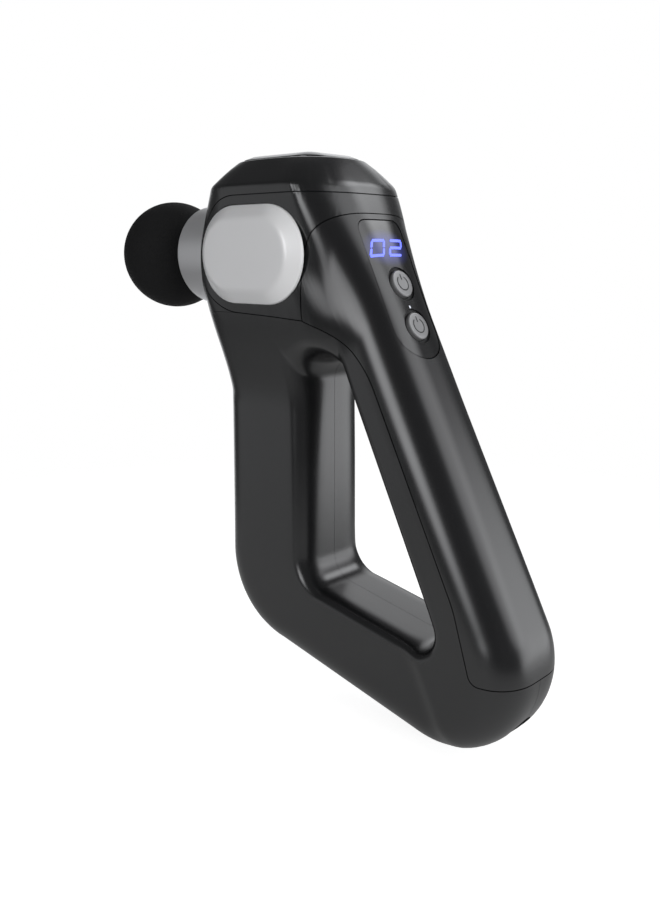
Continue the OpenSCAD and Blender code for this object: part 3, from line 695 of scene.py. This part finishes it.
# ---------------------------------------------------------------- materials
def shader(name, colour, rough, metal=0.0, coat=0.0, grain=0.0, grain_scale=900.0, vary=0.0,
           shine=0.5, glow=None, glow_power=0.0, brushed=None):
    """Procedural surface: colour and roughness drift a little, and a fine grain can bump it."""
    mat = bpy.data.materials.new(name)
    mat.use_nodes = True
    nodes, links = mat.node_tree.nodes, mat.node_tree.links
    surface = nodes["Principled BSDF"]
    surface.inputs["Metallic"].default_value = metal
    surface.inputs["Coat Weight"].default_value = coat
    surface.inputs["Coat Roughness"].default_value = 0.12
    surface.inputs["Specular IOR Level"].default_value = shine
    place = nodes.new("ShaderNodeTexCoord")
    cloud = nodes.new("ShaderNodeTexNoise")
    cloud.inputs["Scale"].default_value = 60.0
    cloud.inputs["Detail"].default_value = 4.0
    links.new(place.outputs["Object"], cloud.inputs["Vector"])
    tint = nodes.new("ShaderNodeMix")
    tint.data_type = "RGBA"
    darker = [c * (1 - vary) for c in colour]
    lighter = [min(1.0, c * (1 + vary)) for c in colour]
    tint.inputs["A"].default_value = (*darker, 1)
    tint.inputs["B"].default_value = (*lighter, 1)
    links.new(cloud.outputs["Fac"], tint.inputs["Factor"])
    links.new(tint.outputs["Result"], surface.inputs["Base Color"])
    drift = nodes.new("ShaderNodeMapRange")
    drift.inputs["To Min"].default_value = rough * 0.88
    drift.inputs["To Max"].default_value = min(1.0, rough * 1.12)
    links.new(cloud.outputs["Fac"], drift.inputs["Value"])
    links.new(drift.outputs["Result"], surface.inputs["Roughness"])
    if grain:
        fine = nodes.new("ShaderNodeTexNoise")
        fine.inputs["Scale"].default_value = grain_scale
        fine.inputs["Detail"].default_value = 3.0
        stretch = nodes.new("ShaderNodeMapping")
        stretch.inputs["Scale"].default_value = brushed or (1.0, 1.0, 1.0)
        links.new(place.outputs["Object"], stretch.inputs["Vector"])
        links.new(stretch.outputs["Vector"], fine.inputs["Vector"])
        bump = nodes.new("ShaderNodeBump")
        bump.inputs["Strength"].default_value = grain
        bump.inputs["Distance"].default_value = 0.0004
        links.new(fine.outputs["Fac"], bump.inputs["Height"])
        links.new(bump.outputs["Normal"], surface.inputs["Normal"])
    if glow:
        surface.inputs["Emission Color"].default_value = (*glow, 1)
        surface.inputs["Emission Strength"].default_value = glow_power
    return mat


FINISHES = {
    "shell_plastic": dict(colour=(0.006, 0.0061, 0.0066), rough=0.25, shine=1.0, vary=0.12),
    "gloss_black": dict(colour=(0.004, 0.004, 0.0045), rough=0.16, shine=0.9, coat=0.4, vary=0.1),
    "silver_trim": dict(colour=(0.86, 0.86, 0.865), rough=0.38, metal=0.2, grain=0.05, grain_scale=3000.0,
                        vary=0.02),
    "collar_metal": dict(colour=(0.66, 0.66, 0.67), rough=0.38, metal=0.6, grain=0.08, grain_scale=700.0,
                         vary=0.03, brushed=(14.0, 0.6, 0.6)),
    "seal_rubber": dict(colour=(0.007, 0.007, 0.0075), rough=0.62, grain=0.2, grain_scale=1800.0, vary=0.1),
    "ball_rubber": dict(colour=(0.014, 0.014, 0.0145), rough=0.75, grain=0.5, grain_scale=1500.0, vary=0.25,
                        shine=0.14),
    "button_metal": dict(colour=(0.27, 0.27, 0.275), rough=0.36, metal=0.6, grain=0.05, vary=0.04),
    "digit_light": dict(colour=(0.1, 0.12, 0.6), rough=0.3, glow=(0.13, 0.17, 1.0), glow_power=1.25),
    "led_light": dict(colour=(0.6, 0.62, 0.66), rough=0.25, glow=(0.8, 0.85, 1.0), glow_power=0.35),
    "white_plastic": dict(colour=(0.7, 0.69, 0.64), rough=0.45, grain=0.05, vary=0.04),
    "circuit_board": dict(colour=(0.012, 0.10, 0.05), rough=0.3, grain=0.1, vary=0.2),
    "chip_plastic": dict(colour=(0.008, 0.008, 0.009), rough=0.5, grain=0.1, vary=0.1),
    "steel": dict(colour=(0.45, 0.45, 0.46), rough=0.32, metal=1.0, grain=0.1, vary=0.05),
    "bright_steel": dict(colour=(0.66, 0.66, 0.67), rough=0.16, metal=1.0, grain=0.03, vary=0.03),
    "cast_alloy": dict(colour=(0.36, 0.36, 0.37), rough=0.5, metal=0.9, grain=0.3, vary=0.08),
    "dark_steel": dict(colour=(0.06, 0.06, 0.065), rough=0.4, metal=0.8, grain=0.1, vary=0.1),
    "bronze": dict(colour=(0.5, 0.33, 0.15), rough=0.4, metal=1.0, grain=0.15, vary=0.08),
    "copper_wire": dict(colour=(0.6, 0.26, 0.1), rough=0.3, metal=0.9, grain=0.4, grain_scale=2500.0,
                        vary=0.1, brushed=(1.0, 6.0, 1.0)),
    "cell_wrap": dict(colour=(0.02, 0.14, 0.42), rough=0.28, grain=0.05, vary=0.05),
    "nickel": dict(colour=(0.5, 0.48, 0.43), rough=0.3, metal=1.0, grain=0.1, vary=0.05),
    "wire_yellow": dict(colour=(0.6, 0.4, 0.03), rough=0.45, grain=0.05, vary=0.05),
    "wire_red": dict(colour=(0.4, 0.015, 0.015), rough=0.45, grain=0.05, vary=0.05),
    "stem_plastic": dict(colour=(0.012, 0.012, 0.013), rough=0.45, grain=0.1, vary=0.1),
}
materials = {slot: shader(slot, **finish) for slot, finish in FINISHES.items()}
for part in frame["record"]["subparts"]:
    node_mesh = frame["nodes"][part["node"]].data
    node_mesh.materials.clear()
    node_mesh.materials.append(materials[part["material_slot"]])


# ---------------------------------------------------------------- casings
def rear_frame():
    """X out of the rear line, Z up its slope, 0 at the point (REAR_X, REAR_Z)."""
    return Matrix.Translation((REAR_X, 0, REAR_Z)) @ Matrix.Rotation(-LEAN, 4, "Y")


def on_face(low, high, outline, name):
    """Prism out of the rear line: outline points are (y, z up the slope), low to high outward."""
    turn = rear_frame() @ Matrix.Rotation(math.radians(-90), 4, "Z")
    return prism(name, [(-p[0], p[1]) for p in outline], low, high, turn)


def tail_centre():
    """Centre of the tail's rounding in the side view."""
    pts = [np.array(c[:2]) for c in OUTSIDE]
    return arc_centre(pts[3], pts[4], pts[5], TAIL[2])[0]


def jack_frame():
    """X out of the charging socket, 0 at the casing's skin."""
    c = tail_centre()
    return (Matrix.Translation((c[0], 0, c[1])) @ Matrix.Rotation(-JACK_ANGLE, 4, "Y")
            @ Matrix.Translation((TAIL[2], 0, 0)))


def panel_outline(grow):
    """(y, z) points of the control panel: square top with soft corners, round bottom."""
    half = PANEL_W / 2
    low = PANEL_TOP - PANEL_LEN + half
    corner = 4.0
    r = corner + grow
    pts = []
    for centre, start in (((half - corner), 0.0), (-(half - corner), 90.0)):
        for a in np.radians(start + np.linspace(0, 90, 9)):
            pts.append((centre + r * math.cos(a), PANEL_TOP - corner + r * math.sin(a)))
    for a in np.radians(np.linspace(180, 360, 49)):
        pts.append(((half + grow) * math.cos(a), low + (half + grow) * math.sin(a)))
    return np.array(pts)


def turned_cutter(name, matrix, r, low, high, steps=64):
    """Cylinder along X of the given frame."""
    obj = lathe(name, [(low, 0), (low, r), (high, r), (high, 0)], steps)
    obj.data.transform(matrix)
    return obj


def at_slope(z):
    """The rear frame moved up its slope by z."""
    return rear_frame() @ Matrix.Translation((0, 0, z))


outer = full_solid("outer", 0.0)
inner = full_solid("inner", WALL)
panel = boolean(full_solid("panel", PANEL_SUNK), inner, "DIFFERENCE", keep=True)
casing = boolean(outer, inner, "DIFFERENCE")

# openings
boolean(casing, lathe("nose_hole", [(-80, 0), (-80, COLLAR_R + 0.2), (-22, COLLAR_R + 0.2), (-22, 0)], 128),
        "DIFFERENCE")
for side in (-1, 1):
    low, high = sorted((side * (HEAD_HALF - 1.0), side * 50.0))
    boolean(casing, prism("cap_seat", stadium(CAP_R + 0.35, CAP_HALF_LEN, 40), low, high), "DIFFERENCE")
boolean(casing, on_face(*THROUGH, panel_outline(0.4), "panel_seat"), "DIFFERENCE")
boolean(casing, turned_cutter("jack_hole", jack_frame(), JACK_R + 0.15, -12, 10), "DIFFERENCE")

# seams
cheek_arc = np.radians(np.linspace(90, 270, 61))
hood_seam = [(112.0, SEAM_Z), (60.0, SEAM_Z), (10.0, SEAM_Z)]
hood_seam += [(-CAP_HALF_LEN + SEAM_Z * math.cos(a), SEAM_Z * math.sin(a)) for a in cheek_arc]
hood_seam += [(9.4, -23.4), (25.55, -24.4)]
nose_seam = [(-80, -SEAM_Z), (-40, -SEAM_Z), (-CAP_HALF_LEN, -SEAM_Z - 0.001)]
seams = [(rounded(COVER_SEAM, 24), SEAM), (hood_seam, SEAM), (nose_seam, FINE_SEAM)]

# lips inside the walls, so that no seam can be seen through
layer = duplicate(casing, "layer")
boolean(layer, full_solid("lip_out", LIP_DEPTH[0]), "INTERSECT")
boolean(layer, full_solid("lip_in", LIP_DEPTH[1]), "DIFFERENCE")
lip_bands = [ribbon("lip_band", path, LIP_W) for path, gap in seams]
lip_bands.append(middle_slab("lip_band", LIP_W))
lips = [boolean(duplicate(layer, "lip"), band, "INTERSECT") for band in lip_bands]
discard(layer)

for path, gap in seams:
    boolean(casing, ribbon("seam", path, gap), "DIFFERENCE")

# sorts the shells by where they lie; the cheeks may be several
casings, cheeks = {}, []
for shell, low, high in islands(casing):
    if high[2] > TOP_Z - 1:
        casings["front_hood"] = shell
    elif high[2] > SEAM_Z - 2 and low[2] > -40:
        cheeks.append(shell)
    elif high[2] > 10:
        casings["rear_cover"] = shell
    else:
        halves = shell
boolean(halves, middle_slab("middle_seam", FINE_SEAM), "DIFFERENCE")
for shell, low, high in islands(halves):
    casings["left_frame" if high[1] < 1 else "right_frame"] = shell
casings["head_housing"] = merged(cheeks, "cheeks")
finish_piece(merged(lips, "lips"), "seam_lips", "housing", "chip_plastic")
for node, shell in casings.items():
    finish_piece(shell, node + "_skin", "housing", "shell_plastic", (node,))


# ---------------------------------------------------------------- side caps and nose
def side_cap(side):
    """Lofted cap: soft rim, slanted bevel, soft plateau."""
    levels = bend([(0.0, -0.9), (0.0, 0.35), (5.0, CAP_PROUD), (CAP_R - 0.5, CAP_PROUD)], 1.6, 7)
    return loft("cap", [[(x, side * (HEAD_HALF + up), z)
                         for x, z in stadium(CAP_R - inward, CAP_HALF_LEN, 36)]
                        for inward, up in levels])


for side, node in ((-1, "side_cap_left"), (1, "side_cap_right")):
    finish_piece(side_cap(side), node + "_shell", "housing", "silver_trim", (node,), sharp=50)

collar_profile = [(-31.0, 15.6), (-31.0, COLLAR_R), (COLLAR_RIM, COLLAR_R), (COLLAR_RIM, 17.6), (-36.5, 17.6),
                  (-36.5, 15.6)]
collar_profile = bend(collar_profile, 0.7) + [(-31.2, 15.6)]
finish_piece(lathe("collar", collar_profile, 160), "nose_collar_ring", "housing", "collar_metal",
             ("nose_collar",))
seal_profile = [(-49.2, 10.1), (-49.2, 17.5), (-50.6, 17.5), (-50.2, 14.0), (-51.4, 12.5), (-50.6, 10.1)]
finish_piece(lathe("seal", bend(seal_profile, 0.5), 128), "nose_seal_lip", "housing", "seal_rubber",
             ("nose_seal",))

# ball, with the stem's bore in its rear side
ball_turn = np.radians(np.linspace(0, 162, 90))
ball_profile = [(BALL_X - BALL_R * math.cos(a), BALL_R * math.sin(a)) for a in ball_turn]
ball_profile += [(-59.9, 6.6), (-60.4, 6.05), (-80.0, 6.05), (-80.0, 0.0)]
finish_piece(lathe("ball", ball_profile, 160), "massage_ball_skin", "massage_head", "ball_rubber",
             ("massage_ball",))


# ---------------------------------------------------------------- control panel
def lit_glass(centre):
    """Gloss black that glows softly blue round the numerals."""
    mat = shader("lit_glass", **FINISHES["gloss_black"])
    nodes, links = mat.node_tree.nodes, mat.node_tree.links
    surface = nodes["Principled BSDF"]
    place = nodes.new("ShaderNodeTexCoord")
    stretch = nodes.new("ShaderNodeMapping")
    stretch.vector_type = "TEXTURE"
    stretch.inputs["Location"].default_value = centre
    stretch.inputs["Scale"].default_value = (HALO_UP, HALO_ACROSS, HALO_UP)
    reach = nodes.new("ShaderNodeVectorMath")
    reach.operation = "LENGTH"
    fall = nodes.new("ShaderNodeMapRange")
    fall.interpolation_type = "SMOOTHSTEP"
    fall.inputs["From Min"].default_value = 1.0
    fall.inputs["From Max"].default_value = 0.3
    fall.inputs["To Max"].default_value = HALO_POWER
    links.new(place.outputs["Object"], stretch.inputs["Vector"])
    links.new(stretch.outputs["Vector"], reach.inputs[0])
    links.new(reach.outputs["Value"], fall.inputs["Value"])
    links.new(fall.outputs["Result"], surface.inputs["Emission Strength"])
    surface.inputs["Emission Color"].default_value = (0.13, 0.16, 1.0, 1)
    return mat


boolean(panel, on_face(*THROUGH, panel_outline(0.0), "panel_edge"), "INTERSECT")
for z in (UPPER_AT, LOWER_AT):
    boolean(panel, turned_cutter("button_hole", at_slope(z), RING_R, *THROUGH, 72), "DIFFERENCE")
boolean(panel, turned_cutter("led_hole", at_slope(LED_AT), LED_R, *THROUGH, 24), "DIFFERENCE")
halo_at = PLACE @ (at_slope(DIGITS_AT) @ Vector((0, DIGITS_Y, 0)))
finish_piece(panel, "control_panel_face", "housing", "gloss_black", ("control_panel",), lit_glass(halo_at),
             bevel=0.3)

ring_profile = bend([(-2.6, BUTTON_R + 0.25), (-2.6, RING_R - 0.05), (-0.75, RING_R - 0.05),
                     (-1.15, RING_R - 0.5), (-1.2, BUTTON_R + 0.25)], 0.15) + [(-2.5, BUTTON_R + 0.25)]
button_profile = [(0.42, 0.0), (0.44, BUTTON_R * 0.5), (0.5, BUTTON_R * 0.86), (0.42, BUTTON_R - 0.35),
                  (0.1, BUTTON_R - 0.05), (-0.4, BUTTON_R), (-2.2, BUTTON_R), (-2.2, 0.0)]


def icon_arc(matrix, r, start, end, width, lift):
    """Short raised arc on a button."""
    a = np.radians(np.linspace(start, end, 20))
    outline = [((r + width / 2) * math.cos(t), (r + width / 2) * math.sin(t)) for t in a]
    outline += [((r - width / 2) * math.cos(t), (r - width / 2) * math.sin(t)) for t in a[::-1]]
    return prism("icon", outline, lift - 0.3, lift + 0.05,
                 matrix @ Matrix.Rotation(math.radians(-90), 4, "Z"))


rings = []
for z, key in ((UPPER_AT, "speed"), (LOWER_AT, "power")):
    here = at_slope(z)
    ring = lathe("ring", ring_profile, 72)
    ring.data.transform(here)
    rings.append(ring)
    disc = lathe("disc", button_profile, 96)
    disc.data.transform(here)
    finish_piece(disc, key + "_button_cap", key + "_key", "button_metal", (key + "_button",))
    marks = [icon_arc(here, 2.9, 125, 415, 0.42, 0.47),
             prism("bar", [(-0.21, 1.4), (0.21, 1.4), (0.21, 3.6), (-0.21, 3.6)], 0.15, 0.52,
                   here @ Matrix.Rotation(math.radians(-90), 4, "Z"))]
    finish_piece(merged(marks, "marks"), key + "_button_mark", key + "_key", "chip_plastic")
finish_piece(merged(rings, "rings"), "button_ring_wells", "housing", "chip_plastic", ("button_rings",),
             materials["seal_rubber"])

# ---------------------------------------------------------------- numerals
# Height, width and spacing of a numeral, its slant, and the thickness of a bar
DIGIT_H = 7.2
DIGIT_W = 8.0
DIGIT_PITCH = 10.6
DIGIT_SLANT = 0.54
BAR_T = 1.1
# Lit bars: 0 top, 1 and 2 down the right, 3 bottom, 4 and 5 up the left, 6 middle
ZERO = (0, 1, 2, 3, 4, 5)
TWO = (0, 1, 6, 4, 3)


def numeral_bars(bars, y):
    """Outlines (y, z) of the lit bars of one slanted numeral."""
    half = DIGIT_H / 2
    spots = [(half, 0), (half / 2, 1), (-half / 2, 1), (-half, 0), (-half / 2, -1), (half / 2, -1), (0, 0)]
    for b in bars:
        flat = spots[b][1] == 0
        up = BAR_T / 2 if flat else half / 2 - BAR_T * 0.62
        out = DIGIT_W / 2 - BAR_T * 0.62 if flat else BAR_T / 2
        z = spots[b][0] * (1 - BAR_T / DIGIT_H)
        mid = y + spots[b][1] * (DIGIT_W - BAR_T) / 2
        tip = min(up, out)
        corners = [(-out, -up), (out, -up), (out, up), (-out, up)]
        if flat:
            shape = corners[:2] + [(out + tip / 2, 0)] + corners[2:] + [(-out - tip / 2, 0)]
        else:
            shape = corners[:1] + [(0, -up - tip / 2)] + corners[1:3] + [(0, up + tip / 2)] + corners[3:]
        yield [(mid + p[0] + DIGIT_SLANT * (z + p[1]), DIGITS_AT + z + p[1]) for p in shape]


# the numerals lie in a thin layer at the panel's face
glass = boolean(full_solid("glass", 0.12), full_solid("deep", 0.75), "DIFFERENCE")
bars = []
for place, lit in ((-0.5, ZERO), (0.5, TWO)):
    for shape in numeral_bars(lit, DIGITS_Y + place * DIGIT_PITCH):
        bar = on_face(-8, 2, shape, "bar")
        bars.append(boolean(bar, glass, "INTERSECT", keep=True))
discard(glass)
finish_piece(merged(bars, "digits"), "display_digits_lit", "housing", "digit_light", ("display_digits",))

led = lathe("led", bend([(-2.6, 0.7), (-0.5, 0.7), (-0.2, 0.0)], 0.3) + [(-2.6, 0.0)], 32)
led.data.transform(at_slope(LED_AT))
finish_piece(led, "status_led_lens", "housing", "led_light", ("status_led",))

# ---------------------------------------------------------------- charging socket
jack_profile = bend([(-11.5, 1.05), (-11.5, JACK_R), (-0.9, JACK_R), (-0.7, 4.6), (-1.2, 4.2), (-3.6, 4.2),
                     (-3.6, 2.8), (-9.4, 2.8), (-9.4, 1.05)], 0.25) + [(-11.4, 1.05)]
jack = lathe("jack", jack_profile, 96)
jack.data.transform(jack_frame())
finish_piece(jack, "charge_jack_socket", "housing", "seal_rubber", ("charge_jack",))

# ---------------------------------------------------------------- top plate
# Middle, corner radius, and the corners' centres with the angle each starts at
PLATE_X = -1.0
PLATE_CORNER = 9.0
PLATE_CORNERS = ((12, 8, 0), (-12, 8, 90), (-12, -8, 180), (12, -8, 270))


def plate_ring(r, z):
    """Rounded rectangle of the plate at height z, with corners of radius r."""
    return [(PLATE_X + x + r * math.cos(a), y + r * math.sin(a), z)
            for x, y, start in PLATE_CORNERS for a in np.radians(start + np.linspace(0, 90, 13))]


plate_levels = bend([(0.0, -0.8), (0.0, 0.6), (3.5, 1.95), (7.5, 2.6), (8.6, 2.6)], 0.35, 4)
plate = loft("plate", [plate_ring(PLATE_CORNER - inward, TOP_Z + up) for inward, up in plate_levels])
finish_piece(plate, "top_plate_face", "housing", "gloss_black", ("top_plate",))

# ---------------------------------------------------------------- studio
# Camera: viewing angle, distance and the point it looks at
AZIMUTH = 42.1
ELEVATION = 11.73
DISTANCE = 389.0
AIM = Vector((14.46, 0, -79.6))
# Area lights: the point they are aimed at, and their distance from it in metres
LIT_POINT = Vector((10, 0, -60))
LIGHT_AWAY = 0.9


def toward(azimuth, elevation):
    """Unit vector from the gun: azimuth 0 faces its left side, 90 its rear."""
    a, e = math.radians(azimuth), math.radians(elevation)
    return Vector((math.sin(a) * math.cos(e), -math.cos(a) * math.cos(e), math.sin(e)))


back = toward(AZIMUTH, ELEVATION)
camera_data = bpy.data.cameras.new("camera")
camera_data.sensor_fit = "HORIZONTAL"
camera_data.sensor_width = 36.0
camera_data.lens = 50.94
camera_data.clip_start = 0.01
camera = bpy.data.objects.new("camera", camera_data)
bpy.context.scene.collection.objects.link(camera)
camera.location = PLACE @ (AIM + back * DISTANCE)
camera.rotation_euler = back.to_track_quat("Z", "Y").to_euler()
bpy.context.scene.camera = camera


def softbox(name, azimuth, elevation, size, power):
    """Square area light aimed at the gun, which its surfaces don't mirror."""
    away = toward(azimuth, elevation)
    data = bpy.data.lights.new(name, "AREA")
    data.size = size
    data.energy = power
    light = bpy.data.objects.new(name, data)
    bpy.context.scene.collection.objects.link(light)
    light.location = PLACE @ LIT_POINT + away * LIGHT_AWAY
    light.rotation_euler = away.to_track_quat("Z", "Y").to_euler()
    light.visible_camera = False
    light.visible_glossy = False


softbox("top", 0, 80, 0.5, 1.2)
softbox("fill", 72, 4, 0.3, 5.0)

# Soft lights of the room, as (azimuth, elevation, inner angle, outer angle, strength).
GLOWS = [
    (10, 15, 6, 19, 3.4),
    (-45, 0, 6, 32, 0.4),
    (138, -4, 10, 32, 1.9),
    (122, 28, 8, 26, 1.5),
    (159, 40, 4, 13, 3.6),
    (-146, 27, 8, 28, 1.1),
    (-124, -12, 10, 30, 1.1),
]
# Strength of the dim room itself
ROOM = 0.1

# White all round for the camera; for light and reflections a dim room with the soft lights.
world = bpy.data.worlds.new("studio")
bpy.context.scene.world = world
world.use_nodes = True
tree = world.node_tree
path = tree.nodes.new("ShaderNodeLightPath")
seen = tree.nodes.new("ShaderNodeBackground")
seen.inputs["Color"].default_value = (1, 1, 1, 1)
lit = tree.nodes["Background"]
lit.inputs["Color"].default_value = (0.97, 0.98, 1.0, 1)
ray = tree.nodes.new("ShaderNodeTexCoord")
total = None
for azimuth, elevation, near, far, strength in GLOWS:
    facing = tree.nodes.new("ShaderNodeVectorMath")
    facing.operation = "DOT_PRODUCT"
    facing.inputs[1].default_value = toward(azimuth, elevation)
    spot = tree.nodes.new("ShaderNodeMapRange")
    spot.interpolation_type = "SMOOTHSTEP"
    spot.inputs["From Min"].default_value = math.cos(math.radians(far))
    spot.inputs["From Max"].default_value = math.cos(math.radians(near))
    spot.inputs["To Max"].default_value = strength
    tree.links.new(ray.outputs["Generated"], facing.inputs[0])
    tree.links.new(facing.outputs["Value"], spot.inputs["Value"])
    add = tree.nodes.new("ShaderNodeMath")
    add.inputs[1].default_value = ROOM
    if total:
        tree.links.new(total, add.inputs[1])
    tree.links.new(spot.outputs["Result"], add.inputs[0])
    total = add.outputs["Value"]
tree.links.new(total, lit.inputs["Strength"])
blend = tree.nodes.new("ShaderNodeMixShader")
tree.links.new(path.outputs["Is Camera Ray"], blend.inputs["Fac"])
tree.links.new(lit.outputs["Background"], blend.inputs[1])
tree.links.new(seen.outputs["Background"], blend.inputs[2])
tree.links.new(blend.outputs["Shader"], tree.nodes["World Output"].inputs["Surface"])
bpy.context.scene.view_settings.view_transform = "Standard"


def fading(mat, near, far):
    """Lets a material fade out between two distances from the middle."""
    nodes, links = mat.node_tree.nodes, mat.node_tree.links
    place = nodes.new("ShaderNodeTexCoord")
    reach = nodes.new("ShaderNodeVectorMath")
    reach.operation = "LENGTH"
    fade = nodes.new("ShaderNodeMapRange")
    fade.interpolation_type = "SMOOTHSTEP"
    fade.inputs["From Min"].default_value = near
    fade.inputs["From Max"].default_value = far
    clear = nodes.new("ShaderNodeBsdfTransparent")
    both = nodes.new("ShaderNodeMixShader")
    links.new(place.outputs["Object"], reach.inputs[0])
    links.new(reach.outputs["Value"], fade.inputs["Value"])
    links.new(fade.outputs["Result"], both.inputs["Fac"])
    links.new(nodes["Principled BSDF"].outputs["BSDF"], both.inputs[1])
    links.new(clear.outputs["BSDF"], both.inputs[2])
    links.new(both.outputs["Shader"], nodes["Material Output"].inputs["Surface"])
    return mat


# Floor in metres: half its size, its gap below the gun, and where it starts and ends to
# fade; its glow as it is seen directly and in reflections
FLOOR_HALF = 0.6
FLOOR_GAP = 0.0006
FLOOR_FADE = (0.1, 0.5)
FLOOR_GLOW = 0.88
FLOOR_GLOW_MIRRORED = 0.2


def floor_material():
    """Pale floor that fades out, and glows less to reflections than to the camera."""
    paint = fading(shader("floor_paint", (0.4, 0.4, 0.4), 0.9, grain=0.02, glow=(1, 1, 1)), *FLOOR_FADE)
    nodes, links = paint.node_tree.nodes, paint.node_tree.links
    direct = nodes.new("ShaderNodeLightPath")
    level = nodes.new("ShaderNodeMapRange")
    level.inputs["To Min"].default_value = FLOOR_GLOW_MIRRORED
    level.inputs["To Max"].default_value = FLOOR_GLOW
    links.new(direct.outputs["Is Camera Ray"], level.inputs["Value"])
    links.new(level.outputs["Result"], nodes["Principled BSDF"].inputs["Emission Strength"])
    return paint


floor_z = cad_box[0].z - FLOOR_GAP
floor_corners = [(x * FLOOR_HALF, y * FLOOR_HALF, floor_z) for x, y in ((-1, -1), (1, -1), (1, 1), (-1, 1))]
floor = working("floor", new_mesh("floor", floor_corners, [(0, 1, 2, 3)]))
floor.data.materials.append(floor_material())
